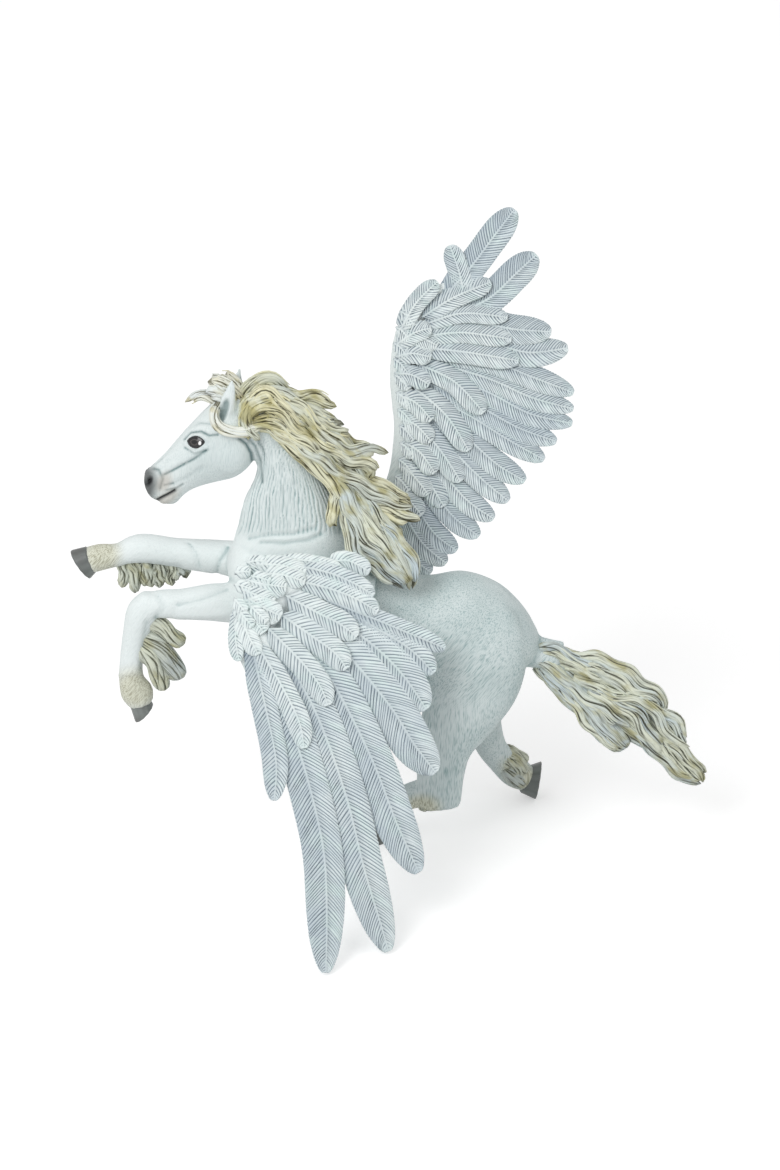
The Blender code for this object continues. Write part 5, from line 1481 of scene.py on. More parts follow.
@dataclass
class Coat:
    """The horse's blended skin with both wing arms, and its paint and painted shade."""

    chest: float = 9.0
    barrel: float = 12.5
    rump: float = 10.5
    neck: float = 6.4
    jaw: float = 6.3
    muzzle: float = 3.5
    cannon: float = 3.0
    knee: float = 3.9
    foreleg: float = FORELEG_DEPTH
    haunch: float = 6.5
    ear: float = 2.6
    ear_spread: float = 4.4
    arm: float = 3.2
    toe_depth: float = TOE_DEPTH
    grain: float = 0.66
    groove_height: float = 0.00022
    groove_shade: float = 0.45
    unevenness: float = 0.00008
    seed: float = 3.0
    forms: list[np.ndarray] = field(default_factory=list)

    def oval_form(self, pairs: Sequence[Place], stations: int) -> None:
        """Lofts ovals between pairs of outline places.

        Args:
            pairs: (x above, rise above, x below, rise below, half width, depth) for each oval.
            stations: how many ovals to make.
        """
        rings = []
        turn = circle(40)
        for x_up, up, x_down, down, half_width, depth in spline(pairs, np.linspace(0.0, 1.0, stations)):
            middle = SHEET.place((x_up + x_down) / 2, (up + down) / 2, depth)
            reach = SHEET.place(x_up, up, depth) - middle
            half_height = math.hypot(x_up - x_down, up - down) / 2
            hidden = min(half_width * math.sin(SHEET.lean) / half_height, 0.8)
            reach = np.array(reach * math.sqrt(1 - hidden ** 2))
            across = np.array((0.0, half_width * MM, 0.0))
            rings.append(np.array(middle) + np.cos(turn)[:, None] * reach + np.sin(turn)[:, None] * across)
        self.forms.append(np.array(rings))

    def tube(self, knots: Sequence[Place], stations: int = 26) -> None:
        """Lofts ovals along a path.

        Args:
            knots: (x, rise, depth, half thickness, half depth) for each place.
            stations: how many ovals to make.
        """
        reads, centres, normal, across = frames_along(knots, stations)
        turn = circle(24)
        self.forms.append(centres[:, None]
                          + normal[:, None] * (np.cos(turn)[None, :] * reads[:, 3:4])[..., None] * MM
                          + across[:, None] * (np.sin(turn)[None, :] * reads[:, 4:5])[..., None] * MM)

    def trunk_and_neck(self) -> None:
        """Barrel, chest, rump and the arched neck."""
        chest, barrel, rump, wide = self.chest, self.barrel, self.rump, self.neck
        self.oval_form((
            (-41.0, 70.0, -38.5, 62.0, chest * 0.45, 0), (-38.0, 77.0, -36.0, 54.0, chest, 0),
            (-28.0, 80.0, -28.0, 46.5, barrel * 0.92, 0), (-15.0, 78.0, -16.0, 42.5, barrel, 0),
            (-3.0, 71.5, -3.0, 40.5, barrel, 0), (8.0, 67.2, 8.0, 41.0, barrel * 0.98, 0),
            (18.0, 68.2, 20.0, 42.0, barrel, 0), (27.0, 65.2, 28.0, 41.5, rump, 0),
            (33.5, 59.2, 33.5, 43.5, rump * 0.78, 0), (37.2, 53.0, 36.5, 47.0, rump * 0.42, 0)), 60)
        self.oval_form((
            (-6.0, 72.0, -36.0, 58.0, wide * 1.5, 0), (-9.0, 79.0, -40.2, 70.0, wide * 1.35, 0),
            (-13.0, 86.0, -38.2, 79.5, wide * 1.1, 0), (-17.5, 94.0, -36.6, 85.5, wide, 0),
            (-22.0, 102.0, -33.7, 91.0, wide * 0.86, 0), (-28.0, 109.5, -33.5, 95.5, wide * 0.8, 0),
            (-35.0, 113.0, -37.0, 98.0, wide * 0.8, 0)), 40)
        self.tube(((33.0, 48.6, 0, 4.5, 4.0), (38.5, 47.3, 0, 4.1, 3.6), (43.0, 46.5, 0, 4.0, 3.4)), 12)

    def head(self) -> None:
        """The head, cheeks, nostrils and ears."""
        jaw, muzzle = self.jaw, self.muzzle
        self.oval_form((
            (-37.0, 113.0, -31.5, 100.0, jaw * 0.75, 0), (-42.0, 111.5, -34.2, 94.6, jaw, 0),
            (-46.0, 108.2, -38.0, 91.4, jaw * 1.03, 0), (-49.5, 104.7, -43.5, 90.0, jaw * 0.95, 0),
            (-52.5, 101.4, -48.0, 88.7, jaw * 0.76, 0), (-55.8, 97.6, -51.0, 87.0, muzzle * 1.12, 0),
            (-58.8, 94.8, -53.3, 84.7, muzzle, 0), (-61.1, 92.4, -56.2, 84.9, muzzle, 0),
            (-61.3, 89.9, -59.3, 86.4, muzzle * 0.7, 0)), 44)
        for side in Side:
            wide = side.value * jaw
            lift = self.mirror_lift(wide * 0.62, side)
            self.tube(((-35.2, 97.0 + lift, wide * 0.55, 2.5, 1.6),
                       (-37.5, 97.0 + lift, wide * 0.62, 5.2, 3.0),
                       (-41.5, 97.0 + lift, wide * 0.62, 5.4, 3.0),
                       (-45.5, 97.0 + lift, wide * 0.55, 2.5, 1.6)))
            wide = side.value * muzzle
            lift = self.mirror_lift(wide * 0.55, side)
            self.tube(((-60.4, 91.5 + lift, wide * 0.5, 0.6, 0.8), (-60.1, 90.3 + lift, wide * 0.6, 1.2, 1.5),
                       (-59.6, 88.8 + lift, wide * 0.5, 0.8, 0.8)), 10)
        for base_x, base_rise, tip_x, tip_rise, depth in (
                (-40.3, 104.5, -38.7, 115.3, -self.ear_spread),
                (-38.4, 107.5, -37.2, 118.2, self.ear_spread)):
            half = self.ear / 2
            middle_x = (base_x + tip_x) / 2 - 0.3
            middle_rise = (base_rise + tip_rise) / 2
            self.tube(((base_x, base_rise, depth * 0.8, 1.4, half),
                       (middle_x - 0.4, middle_rise - 1.2, depth, 2.1, half),
                       (middle_x + 0.3, middle_rise + 1.8, depth, 1.6, half * 0.8),
                       (tip_x, tip_rise, depth, 0.4, half * 0.3)), 16)

    @staticmethod
    def mirror_lift(depth: float, side: Side) -> float:
        """The extra rise of a far place that stands level with its near twin."""
        return 2 * abs(depth) * math.sin(SHEET.lean) if side is Side.FAR else 0.0

    def legs(self) -> None:
        """The four legs down to their hooves."""
        far, near, thin, knee = self.foreleg, -self.foreleg, self.cannon, self.knee
        self.tube(((-30.0, 68.5, far * 0.6, 8.0, 5.5), (-39.0, 71.0, far * 0.8, 4.8, 4.6),
                   (-46.0, 71.8, far * 0.9, 4.3, 4.1), (-54.0, 72.6, far, 3.9, 3.6),
                   (-62.5, 73.6, far, knee, 3.6), (-68.0, 72.1, far, thin, 2.9),
                   (-72.5, 71.5, far, thin * 1.17, 3.1), (-76.0, 70.6, far, thin * 1.15, 3.3)), 40)
        self.tube(((-28.0, 61.5, near * 0.7, 8.0, 5.5), (-38.0, 60.2, near * 0.9, 5.5, 4.8),
                   (-45.0, 60.2, near, 4.8, 4.2), (-52.0, 59.8, near, 3.9, 3.6),
                   (-58.0, 59.7, near, 3.6, 3.4), (-62.5, 58.0, near, 2.6, 2.6)), 30)
        self.tube(((-59.8, 62.3, near, 1.8, 2.2), (-61.7, 58.2, near, knee, 3.4),
                   (-63.5, 52.0, near, thin * 1.12, 2.9), (-64.6, 46.0, near, thin, 2.7),
                   (-64.7, 41.0, near, thin * 1.1, 3.0), (-63.3, 37.6, near, thin * 1.42, 3.2),
                   (-62.3, 34.6, near, thin, 3.0)), 30)
        near, far, toe = -self.haunch, self.haunch, self.toe_depth
        self.tube(((20.0, 59.5, near * 0.6, 8.0, 3.2), (20.8, 54.0, near * 0.9, 12.0, 5.8),
                   (21.0, 47.0, near, 13.4, 6.8), (20.5, 40.0, near, 12.2, 6.4),
                   (17.0, 31.5, near * 1.15, 9.6, 5.4), (13.9, 24.0, near * 1.25, 7.0, 4.4),
                   (12.7, 17.0, near * 1.28, 6.1, 3.8), (12.6, 11.6, near * 1.28, 5.6, 3.5),
                   (12.7, 8.6, near * 1.28, 5.0, 3.0)), 40)
        self.tube(((15.0, 12.2, near * 1.25, 3.7, 3.4), (9.0, 12.2, near * 1.1, 3.8, 3.3),
                   (4.0, 10.8, near * 0.7, thin * 1.13, 3.2), (-0.5, 8.4, near * 0.25, thin * 1.2, 3.3),
                   (-3.5, 5.6, SHEET.stance_depth, thin * 1.05, 3.1)))
        self.tube(((20.0, 61.0, far * 0.6, 8.0, 3.2), (21.5, 55.0, far * 0.9, 11.5, 5.8),
                   (22.5, 47.5, far, 12.0, 6.6), (22.5, 39.0, far * 1.3, 8.6, 5.6),
                   (23.2, 31.5, far * 1.8, 5.2, 4.4), (25.5, 24.0, far + (toe - far) * 0.55, 4.0, 3.5),
                   (28.8, 19.6, far + (toe - far) * 0.75, 3.8, 3.3),
                   (32.2, 16.6, far + (toe - far) * 0.9, 4.2, 3.6),
                   (35.0, 14.8, toe, 3.3, 3.4)), 44)

    def wing_arms(self, lowered: WingSheet, raised: WingSheet) -> None:
        """The fleshy arms that the feathers grow from.

        Args:
            lowered: the lowered wing's sheet.
            raised: the raised wing's sheet.
        """
        for sheet, knots in (
                (lowered, ((-6.0, 62.0, 8.0, 2.2, 1.6), (-15.0, 63.5, 4.5, 2.2, 1.5),
                           (-25.0, 62.5, 2.4, 2.0, 1.2),
                           (-32.5, 56.5, 1.4, 2.1, 0.9), (-33.5, 48.0, 0.8, 1.4, 0.6),
                           (-30.5, 38.0, 0.4, 0.7, 0.35))),
                (raised, ((-8.0, 64.0, 1.0, 2.2, 1.5), (-3.0, 76.0, 1.5, 2.0, 1.3),
                          (3.0, 89.0, 1.4, 1.4, 1.0),
                          (4.7, 103.0, 1.2, 1.2, 0.9), (3.4, 116.0, 1.0, 1.1, 0.8),
                          (4.6, 127.0, 0.8, 1.1, 0.65),
                          (9.5, 135.0, 0.6, 1.0, 0.5), (15.0, 139.0, 0.4, 0.7, 0.35)))):
            self.tube([(x, rise, sheet.depth(x, rise) + sunk, wide * self.arm, deep * self.arm)
                       for x, rise, sunk, wide, deep in knots], 36)

    def blended(self) -> Piece:
        """Melts the forms into one even, smooth skin."""
        skin = Skin("coat")
        for rings in self.forms:
            skin.add_rings(rings)
        piece = skin.piece()
        remesh = piece.modifiers.new("even grain", "REMESH")
        remesh.mode = "VOXEL"
        remesh.voxel_size = self.grain * MM
        soften = piece.modifiers.new("soften", "SMOOTH")
        soften.factor = 0.5
        soften.iterations = 6
        bake(piece)
        return piece

    def refine(self, piece: Piece) -> None:
        """Gives the head and neck finer facets for their carving."""
        shell = bmesh.new()
        shell.from_mesh(piece.data)
        spots = SHEET.read(np.array([corner.co for corner in shell.verts]))
        fine = {corner.index for corner, (x, rise, _) in zip(shell.verts, spots)
                if x < -14.0 and rise > 74.0 + max(x + 40.0, 0.0) * 0.05}
        edges = [edge for edge in shell.edges if all(corner.index in fine for corner in edge.verts)]
        bmesh.ops.subdivide_edges(shell, edges=edges, cuts=1, use_grid_fill=True)
        bmesh.ops.triangulate(shell, faces=[face for face in shell.faces if len(face.verts) > 4])
        finer = [corner for corner in shell.verts if SHEET.read(np.array([corner.co]))[0][0] < -14.0]
        for _ in range(2):
            bmesh.ops.smooth_vert(shell, verts=finer, factor=0.5, use_axis_x=True, use_axis_y=True,
                                  use_axis_z=True)
        shell.to_mesh(piece.data)
        shell.free()

    def carve(self, piece: Piece) -> None:
        """Presses the face, neck and legs, and marks the coat's colours and painted shade.

        Args:
            piece: the blended skin.
        """
        mesh = piece.data
        count = len(mesh.vertices)
        points = np.empty(count * 3)
        normals = np.empty(count * 3)
        mesh.vertices.foreach_get("co", points)
        mesh.vertices.foreach_get("normal", normals)
        points, normals = points.reshape(-1, 3), normals.reshape(-1, 3)
        read = SHEET.read(points)
        depth = read[:, 2]
        rise = np.where(depth > 0, read[:, 1] - 2 * depth * math.sin(SHEET.lean), read[:, 1])
        spots = np.stack([read[:, 0], rise], axis=1)
        outward = smooth_step(np.abs(normals[:, 1]), 0.15, 0.5)
        press = np.zeros(count)
        recess = np.zeros(count)
        on_head = spots[:, 0] < -31.0
        # Each face crease is pressed in and gets painted shade along it.
        for crease in self.face_creases():
            near = np.exp(-(distance_to_path(spots, crease.path) / crease.width) ** 2) * outward * on_head
            press += near * crease.depth
            recess += near * crease.stain_and_shade
        marks = {}
        for name, soft, ovals in (
                ("dark", 0.35, (Spot(-59.9, 90.1, 1.4, 0.85, 62.0, 1.3),)),
                ("muzzle", 0.4, (Spot(-61.8, 89.2, 5.4, 3.9, 80.0),)),
                ("lip", 0.6, (Spot(-56.2, 89.8, 2.6, 1.8, 60.0), Spot(-55.6, 86.0, 3.6, 1.6, 35.0))),
                ("hollow", 0.4, (Spot(-41.2, 107.3, 2.8, 1.1, 68.0, 1.1),))):
            cover = np.zeros(count)
            for oval in ovals:
                patch = oval.cover(spots, soft) * on_head
                cover = np.maximum(cover, patch)
                press += patch * oval.press * outward
            marks[name] = cover
        mouth = np.exp(-(distance_to_path(spots, MOUTH_LINE) / 0.32) ** 2)
        # The mouth line is painted dark, and half the face creases' painted shade goes into the dark colour.
        marks["dark"] = np.clip(marks["dark"] + (mouth * 0.8 + recess * 0.5) * on_head, 0.0, 1.0)
        # The ear's hollow gets painted shade, partly in the dark colour.
        hollow = marks.pop("hollow")
        marks["dark"] = np.clip(marks["dark"] + hollow * 0.25, 0.0, 1.0)
        recess = np.clip(recess + hollow * 1.2, 0.0, 1.0)
        marks["lip"] = marks["lip"] * 0.75
        seen = read[:, :2]
        facing = smooth_step(-normals[:, 1], 0.05, 0.4) * (seen[:, 1] < 82.0) * (seen[:, 0] < -36.0)
        # Each leg crease is pressed in and gets painted shade along it.
        for crease in self.leg_creases():
            line = np.exp(-(distance_to_path(seen, crease.path) / crease.width) ** 2) * facing
            press += line * crease.depth
            recess += line * crease.stain_and_shade
        marks["pastern"] = np.zeros(count)
        for side, oval in ((Side.NEAR, Spot(-63.2, 38.4, 6.4, 4.9, 0.0)),
                           (Side.FAR, Spot(-72.4, 72.0, 4.6, 5.4, 0.0)),
                           (Side.NEAR, Spot(8.0, 8.5, 4.4, 3.0, 0.0)),
                           (Side.FAR, Spot(33.6, 15.6, 5.6, 3.4, -35.0))):
            marks["pastern"] = np.maximum(marks["pastern"], oval.cover(seen, 0.5) * (depth * side.value > 0))
        marks["pastern"] = marks["pastern"] * 0.85
        marks["upright"] = np.maximum(smooth_step(-spots[:, 0], 12.0, 20.0) * smooth_step(rise, 74.0, 80.0),
                                      smooth_step(-rise, -40.0, -30.0))
        relief, fold = self.neck_grooves(read, rise)
        marks["relief"] = relief
        # Painted shade under the cheek, along the creases and in the folds between neck and chest.
        jowl = Spot(-42.6, 96.0, 8.5, 5.5, 25.0).cover(spots, 0.6) * on_head
        marks["recess"] = np.clip(recess * 0.6 + fold * 0.17 + jowl * 0.22, 0.0, 1.0)
        # The shade strength: painted shade, strongest over the body, less on the neck and head, least on the
        # legs.
        body = smooth_step(spots[:, 0], -24.0, -6.0) * smooth_step(-rise, -88.0, -74.0)
        head = smooth_step(-spots[:, 0], 31.0, 35.0) * smooth_step(rise, 84.0, 90.0)
        marks["shade_strength"] = (0.26 + 1.26 * body + 0.51 * (1.0 - body) * marks["upright"] * (rise > 60.0)) * (
            1.0 - 0.35 * head)
        press += fold * 0.4
        moved = points - normals * press[:, None] * MM
        mesh.vertices.foreach_set("co", moved.ravel())
        for name, values in marks.items():
            mark(mesh, name, values)
        mesh.update()

    @staticmethod
    def leg_creases() -> tuple[Crease, ...]:
        """The lines of the forelegs as they are seen: muscles, knees and tendons."""
        return (
            Crease(((-52.6, 59.5), (-46.7, 60.9), (-40.8, 63.4)), 1.0, 0.45, 0.16),
            Crease(((-53.0, 56.6), (-47.0, 56.8), (-41.0, 57.4)), 0.8, -0.3, 0.0),
            Crease(((-57.9, 62.2), (-56.2, 58.8), (-58.2, 56.4)), 0.7, 0.35, 0.22),
            Crease(((-60.4, 55.0), (-61.4, 48.5), (-62.0, 42.8)), 0.8, 0.4, 0.3),
            Crease(((-68.4, 41.8), (-64.0, 42.8), (-59.6, 42.0)), 0.5, -0.4, 0.0),
            Crease(((-50.9, 76.0), (-48.6, 72.7), (-47.6, 69.0)), 0.7, 0.35, 0.2),
            Crease(((-43.6, 66.8), (-42.6, 70.5), (-40.6, 74.2)), 0.6, 0.4, 0.35),
            Crease(((-66.0, 69.0), (-60.0, 69.6), (-53.0, 69.0)), 0.9, 0.3, 0.15),
        )

    @staticmethod
    def face_creases() -> tuple[Crease, ...]:
        """The lines of the face: mouth, crest, lids, brow, jaw and throat."""
        return (
            Crease(MOUTH_LINE, 0.42, 0.55, 0.8),
            Crease(((-58.2, 84.6), (-56.4, 84.9), (-54.6, 85.9)), 0.5, -0.2, 0.0),
            Crease(((-56.1, 91.8), (-54.0, 92.8), (-51.9, 93.9), (-48.6, 95.6), (-45.6, 97.6)), 0.36, 0.38,
                   0.55),
            Crease(((-55.0, 94.0), (-51.4, 95.6), (-47.6, 97.4)), 0.9, -0.35, 0.0),
            Crease(((-54.2, 89.6), (-50.6, 91.0), (-46.4, 93.6)), 0.6, 0.15, 0.12),
            Crease(((-50.9, 100.6), (-49.4, 102.2), (-46.8, 102.5), (-44.6, 101.4), (-42.6, 101.6)), 0.32,
                   0.35, 0.6),
            Crease(((-50.6, 100.0), (-49.0, 101.8), (-46.9, 101.8), (-44.9, 100.3)), 0.4, -0.35, 0.0),
            Crease(((-50.6, 99.4), (-48.4, 97.5), (-45.4, 98.6)), 0.4, -0.3, 0.0),
            Crease(((-50.8, 98.4), (-48.2, 97.0), (-45.0, 97.9)), 0.3, 0.2, 0.35),
            Crease(((-52.4, 101.4), (-50.4, 103.6), (-47.0, 104.6), (-44.0, 104.2)), 0.45, 0.2, 0.2),
            Crease(((-58.4, 94.6), (-56.0, 96.6), (-53.6, 99.4), (-52.0, 101.2)), 0.3, 0.15, 0.4),
            Crease(((-60.0, 94.2), (-58.0, 94.8), (-56.6, 96.0)), 0.26, 0.15, 0.5),
            Crease(((-37.4, 100.8), (-35.3, 99.2), (-34.2, 97.0), (-34.0, 94.4), (-35.2, 92.6)), 0.42, 0.55,
                   0.7),
            Crease(((-35.6, 101.2), (-33.4, 98.8), (-32.2, 95.0), (-31.8, 90.0)), 0.4, 0.35, 0.6),
            Crease(((-33.0, 101.0), (-31.2, 97.4), (-30.4, 93.0)), 0.4, 0.3, 0.5),
            Crease(((-59.4, 93.6), (-57.4, 93.0), (-56.4, 90.8), (-57.0, 88.4)), 0.36, 0.3, 0.6),
            Crease(((-61.6, 91.9), (-60.6, 92.3), (-59.0, 91.4), (-58.9, 89.6), (-59.8, 88.8)), 0.36, -0.3,
                   0.0),
            Crease(((-56.0, 89.2), (-53.8, 89.6)), 0.3, 0.2, 0.5),
            Crease(((-55.4, 88.0), (-53.0, 88.4), (-51.4, 89.4)), 0.3, 0.2, 0.5),
        )

    @staticmethod
    def neck_grooves(read: np.ndarray, rise: np.ndarray) -> tuple[np.ndarray, np.ndarray]:
        """Long strokes down the neck, and the folds where it meets the chest.

        Args:
            read: rows of x, rise and depth.
            rise: each row's rise, with the far side read as the near one.

        Returns:
            The relief of the strokes and the strength of the folds.
        """
        x = read[:, 0]
        levels = (74.0, 80.0, 86.0, 92.0, 98.0, 104.0)
        throat = np.interp(rise, levels, (-41.0, -38.5, -36.8, -34.0, -33.0, -36.0))
        crest = np.interp(rise, levels, (-8.0, -9.5, -12.0, -15.5, -19.5, -23.0))
        across = (x - throat) / (crest - throat)
        bend = 0.016 * np.sin(rise * 0.21 + across * 7) + 0.004 * np.sin(rise * 0.9 + across * 37)
        wave = np.cos(2 * math.pi * 29 * (across + bend))
        strength = 0.7 + 0.45 * np.sin(across * 61 + rise * 0.31) * np.sin(rise * 0.23 + across * 17)
        inside = (smooth_step(rise, 76.0, 78.5) * smooth_step(-rise, -106.0, -100.0)
                  * smooth_step(across, 0.0, 0.06) * smooth_step(-x, 8.0, 12.0))
        relief = np.where(wave > 0, wave * 0.5, wave) * strength * inside
        folds = np.zeros(len(x))
        for path in (((-35.0, 76.0), (-30.0, 76.8), (-24.0, 77.0), (-19.0, 78.4)),
                     ((-32.0, 75.0), (-26.0, 74.8), (-20.0, 75.6), (-17.0, 77.0))):
            folds = np.maximum(folds, np.exp(-(distance_to_path(np.stack([x, rise], axis=1),
                                                                path) / 0.75) ** 2))
        return relief, folds

    def build(self, lowered: WingSheet, raised: WingSheet, carver: ReliefTree,
              finish: Finish) -> Piece:
        """Makes the coat.

        Args:
            lowered: the lowered wing's sheet.
            raised: the raised wing's sheet.
            carver: the relief tree.
            finish: the coat's material.

        Returns:
            The finished piece.
        """
        self.trunk_and_neck()
        self.head()
        self.legs()
        self.wing_arms(lowered, raised)
        piece = self.blended()
        self.refine(piece)
        self.carve(piece)
        carver.carve(piece, self.groove_height, self.groove_shade, self.unevenness, self.seed, finish)
        piece.data.shade_smooth()
        return show(piece)


@dataclass
class Hooves:
    """Four dark hooves, each drawn from its coronet to its sole."""

    foreleg: float = FORELEG_DEPTH
    toe_depth: float = TOE_DEPTH
    sides: int = 40
    ring_height: float = 0.00008
    groove_shade: float = 0.5
    seed: float = 2.0
    levels: tuple[tuple[float, float], ...] = (
        (-0.15, 0.80), (-0.04, 0.93), (0.03, 0.985), (0.12, 0.975), (0.30, 0.985), (0.5, 0.99), (0.7, 0.995),
        (0.88, 1.0), (0.95, 0.995), (0.985, 0.97), (1.0, 0.93), (1.0, 0.80), (0.96, 0.70), (0.95, 0.4),
        (0.95, 0.08))

    def hoof(self, skin: Skin, coronet: Place, sole: Place, half_width: float, toe: float = 0.0) -> None:
        """Adds one hoof.

        Args:
            skin: the piece that the hoof belongs to.
            coronet: (x, rise, x, rise, depth) across its top.
            sole: the same across its sole.
            half_width: millimetres at the sole.
            toe: how far round the growth rings start.
        """
        turn = circle(self.sides)
        rings = []
        for share, tuck in self.levels:
            a, b, c, d, depth = (u + (v - u) * share for u, v in zip(coronet, sole))
            front, heel = SHEET.place(a, b, depth), SHEET.place(c, d, depth)
            middle = np.array((front + heel) / 2)
            reach = np.array(front - heel) / 2 * tuck
            across = np.array((0.0, half_width * MM * tuck * (0.84 + 0.16 * min(max(share, 0.0), 1.0)), 0.0))
            rings.append(middle + np.cos(turn)[:, None] * reach + np.sin(turn)[:, None] * across)
        relief = np.cos(turn * 12 + toe)[None, :] * np.ones((len(rings), 1)) * 0.4
        skin.add_rings(np.array(rings), relief, 0.0, 0.2)

    def build(self, carver: ReliefTree, finish: Finish) -> None:
        """Makes the hooves.

        Args:
            carver: the relief tree.
            finish: the hooves' material.
        """
        near, far, toe = -self.foreleg, self.foreleg, self.toe_depth
        skin = Skin("hooves")
        self.hoof(skin, (-76.4, 74.0, -73.8, 67.7, far), (-80.2, 72.9, -75.1, 66.4, far), 3.7)
        self.hoof(skin, (-65.1, 33.9, -60.2, 36.1, near), (-63.9, 30.4, -59.3, 34.5, near), 3.4)
        self.hoof(skin, (33.3, 11.6, 36.1, 18.1, toe), (37.3, 9.9, 38.9, 19.0, toe), 4.4)
        turn = circle(self.sides)
        rings = []
        for level, tuck in ((6.5, 0.74), (6.2, 0.79), (5.8, 0.80), (4.5, 0.85), (2.5, 0.93), (0.6, 1.0),
                            (0.15, 0.995), (0.0, 0.95), (0.0, 0.5), (0.0, 0.1)):
            shift = -3.6 - 1.6 * (1 - level / 6.5) + SHEET.shift_x
            rings.append(np.stack([shift + 4.9 * tuck * np.cos(turn),
                                   SHEET.stance_depth + SHEET.shift_y + 4.3 * tuck * np.sin(turn),
                                   np.full(self.sides, level)], axis=1) * MM)
        skin.add_rings(np.array(rings), 0.0, 0.0, 0.2)
        show(carver.carve(skin.piece(), self.ring_height, self.groove_shade, 0.0, self.seed, finish))


@dataclass
class Eyes:
    """The painted eyes, raised a hair above the coat."""

    outline: tuple[Place, ...] = ((-50.3, 100.2), (-49.6, 101.0), (-48.2, 101.5), (-46.8, 101.1),
                                  (-45.6, 99.9),
                                  (-46.4, 98.9), (-47.6, 98.2), (-48.9, 98.4), (-49.8, 99.1))
    middle: Place = (-48.2, 99.8)
    rings: int = 12
    bulge: float = 0.55
    glint: Place = (-46.8, 99.6)

    def near_surface(self, tree: BVHTree, x: float, rise: float) -> tuple[Vector, Vector]:
        """Finds the coat's surface behind a place of the drawing.

        Args:
            tree: the coat's faces.
            x: millimetres from head to tail.
            rise: millimetres up the sheet.

        Returns:
            The point and its outward direction.
        """
        start = SHEET.place(x, rise, -60.0)
        towards = (SHEET.place(x, rise, 60.0) - start).normalized()
        point, normal, _, _ = tree.ray_cast(start, towards)
        return point, normal

    def build(self, coat: Piece, finish: Finish, spark: Finish) -> None:
        """Makes the eyes and their glints.

        Args:
            coat: the finished coat.
            finish: the eyes' material.
            spark: the glints' material.
        """
        tree = BVHTree.FromPolygons([corner.co.copy() for corner in coat.data.vertices],
                                    [tuple(face.vertices) for face in coat.data.polygons])
        rim = spline([*self.outline, self.outline[0]], np.linspace(0.0, 1.0, 41))[:-1]
        _, facing = self.near_surface(tree, *self.middle)
        rings = []
        looks = []
        for ring in range(self.rings + 1):
            share = max(1.0 - ring / self.rings, 0.02)
            lift = (self.bulge * math.sqrt(max(1.0 - share ** 2, 0.0)) + 0.03) * MM
            row = []
            for x, rise in rim:
                spot_x = self.middle[0] + (x - self.middle[0]) * share
                spot_rise = self.middle[1] + (rise - self.middle[1]) * share
                point, _ = self.near_surface(tree, spot_x, spot_rise)
                row.append(np.array(point + facing * (lift if ring else -0.0006)))
            rings.append(row)
            looks.append([share] * len(rim))
        skin = Skin("eyes")
        near = np.array(rings)
        skin.add_rings(near)
        skin.add_rings(SHEET.mirrored(near))
        piece = skin.piece()
        mark(piece.data, "look", np.tile(np.array(looks).reshape(-1), 2))
        piece.data.materials.append(finish)
        show(piece)
        point, _ = self.near_surface(tree, *self.glint)
        dots = Skin("eye_glints")
        turn = circle(16)
        across = np.array(facing.cross(Vector((0, 0, 1))).normalized())
        up = np.cross(across, np.array(facing))
        around = np.cos(turn)[:, None] * across + np.sin(turn)[:, None] * up * 1.3
        stack = []
        for level, size in ((-0.2, 0.40), (0.08, 0.40), (0.14, 0.28), (0.16, 0.05)):
            middle = np.array(point + facing * (self.bulge * 0.82 + level) * MM)
            stack.append(middle + around * size * MM)
        dots.add_rings(np.array(stack))
        dots.add_rings(SHEET.mirrored(np.array(stack)))
        glints = dots.piece()
        glints.data.materials.append(spark)
        show(glints)


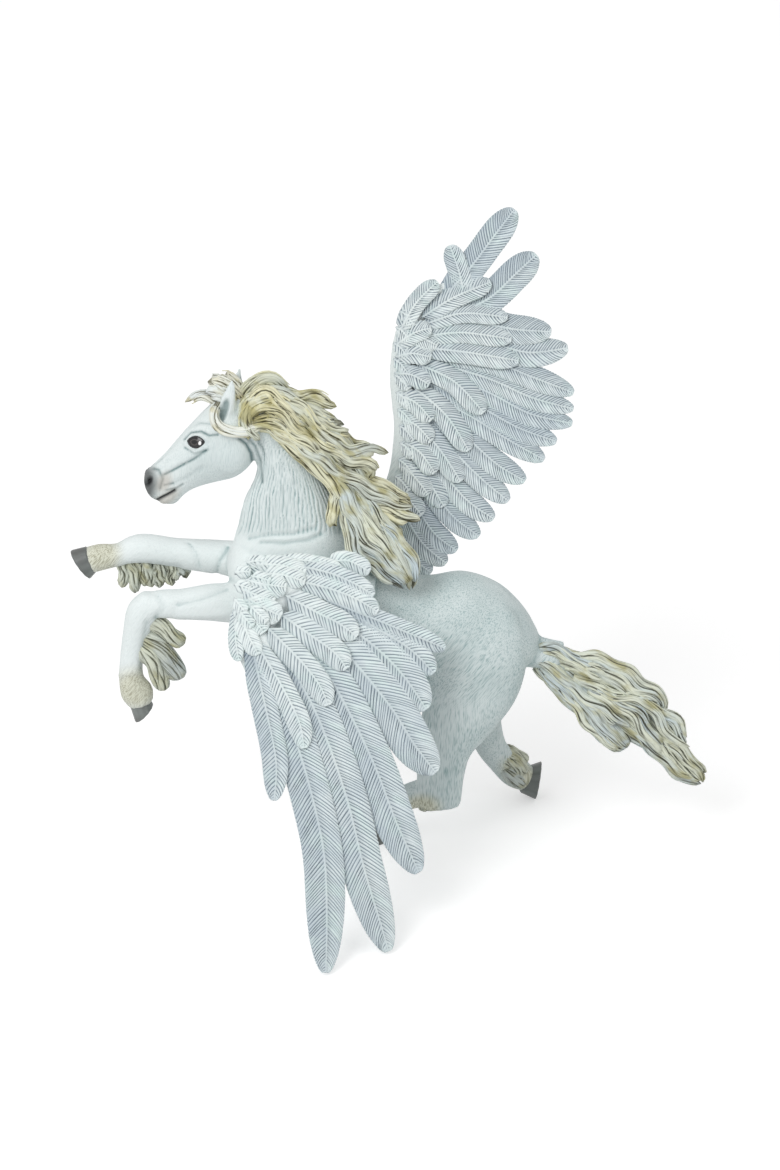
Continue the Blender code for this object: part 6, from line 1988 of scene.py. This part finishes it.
@dataclass
class Studio:
    """The floor, soft lamps and camera."""

    aim_rise: float = 64.5
    distance: float = 2.0
    picture_height: float = 0.2925
    ambient: float = 0.55
    floor_size: float = 6.0

    def build(self) -> None:
        """Makes the floor, world, lamps and camera."""
        scene = bpy.context.scene
        scene.view_settings.view_transform = "Standard"
        bpy.ops.mesh.primitive_plane_add(size=self.floor_size)
        floor = bpy.context.object
        floor.name = "floor"
        floor.data.materials.append(FloorPaint().material())
        self.world(scene)
        self.lamp("key", (-0.75, -1.05, 1.25), 0.9, 14.5)
        self.lamp("fill", (1.2, -0.9, 0.8), 1.2, 4.0)
        aim = SHEET.place(0.0, self.aim_rise, 0.0)
        lens = bpy.data.cameras.new("camera")
        lens.sensor_width = 36.0
        lens.lens = lens.sensor_width * self.distance / self.picture_height
        lens.clip_end = 20.0
        camera = add_object("camera", lens)
        camera.location = aim + Vector((0.0, -math.cos(SHEET.lean), math.sin(SHEET.lean))) * self.distance
        camera.rotation_euler = (aim - camera.location).to_track_quat("-Z", "Y").to_euler()
        scene.camera = camera

    def world(self, scene: bpy.types.Scene) -> None:
        """Gives the scene an even pale sky that shows as white.

        Args:
            scene: the scene.
        """
        world = bpy.data.worlds.new("studio")
        world.use_nodes = True
        scene.world = world
        graph = Graph(world.node_tree)
        level = graph.math("MULTIPLY_ADD", graph.seen_directly(), 1.0 - self.ambient, self.ambient)
        background = world.node_tree.nodes["Background"]
        background.inputs["Color"].default_value = (1.0, 1.0, 1.0, 1.0)
        graph.link(level, background.inputs["Strength"])

    def lamp(self, name: str, place: Place, size: float, power: float) -> None:
        """Hangs one soft square lamp that faces the figure.

        Args:
            name: the lamp's name.
            place: where it hangs, in metres.
            size: its side, in metres.
            power: its power, in watts.
        """
        light = bpy.data.lights.new(name, "AREA")
        light.size = size
        light.energy = power
        lamp = add_object(name, light)
        lamp.location = place
        lamp.rotation_euler = (Vector((0.0, 0.0, 0.08)) - Vector(place)).to_track_quat("-Z", "Y").to_euler()


def main() -> None:
    """Builds the pieces in order and hands them to the frame."""
    logging.basicConfig(level=logging.INFO, format="%(name)s: %(message)s")
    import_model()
    Studio().build()
    carver, sweeper = ReliefTree(), StrandTree()
    plume, pale, straw, ash, tuft = (finish.material() for finish in (
        WHITE_PLUME, PALE_HAIR, STRAW_HAIR, ASH_HAIR, FETLOCK_HAIR))
    lowered, raised = lowered_wing(), raised_wing()
    coat = Coat().build(lowered.sheet, raised.sheet, carver, WHITE_COAT.material())
    Eyes().build(coat, EYE_PAINT.material(), GLINT_PAINT.material())
    Hooves().build(carver, DARK_HOOF.material())
    for wing in (lowered, raised):
        wing.build(carver, plume)
    for locks, hair in ((forelock_hair(), pale), (mane_hair(), straw), (mane_end_hair(), ash),
                        (tail_hair(), ash),
                        (fetlock_hair(), tuft)):
        locks.build(carver, sweeper, hair)


if __name__ == "__main__":
    main()
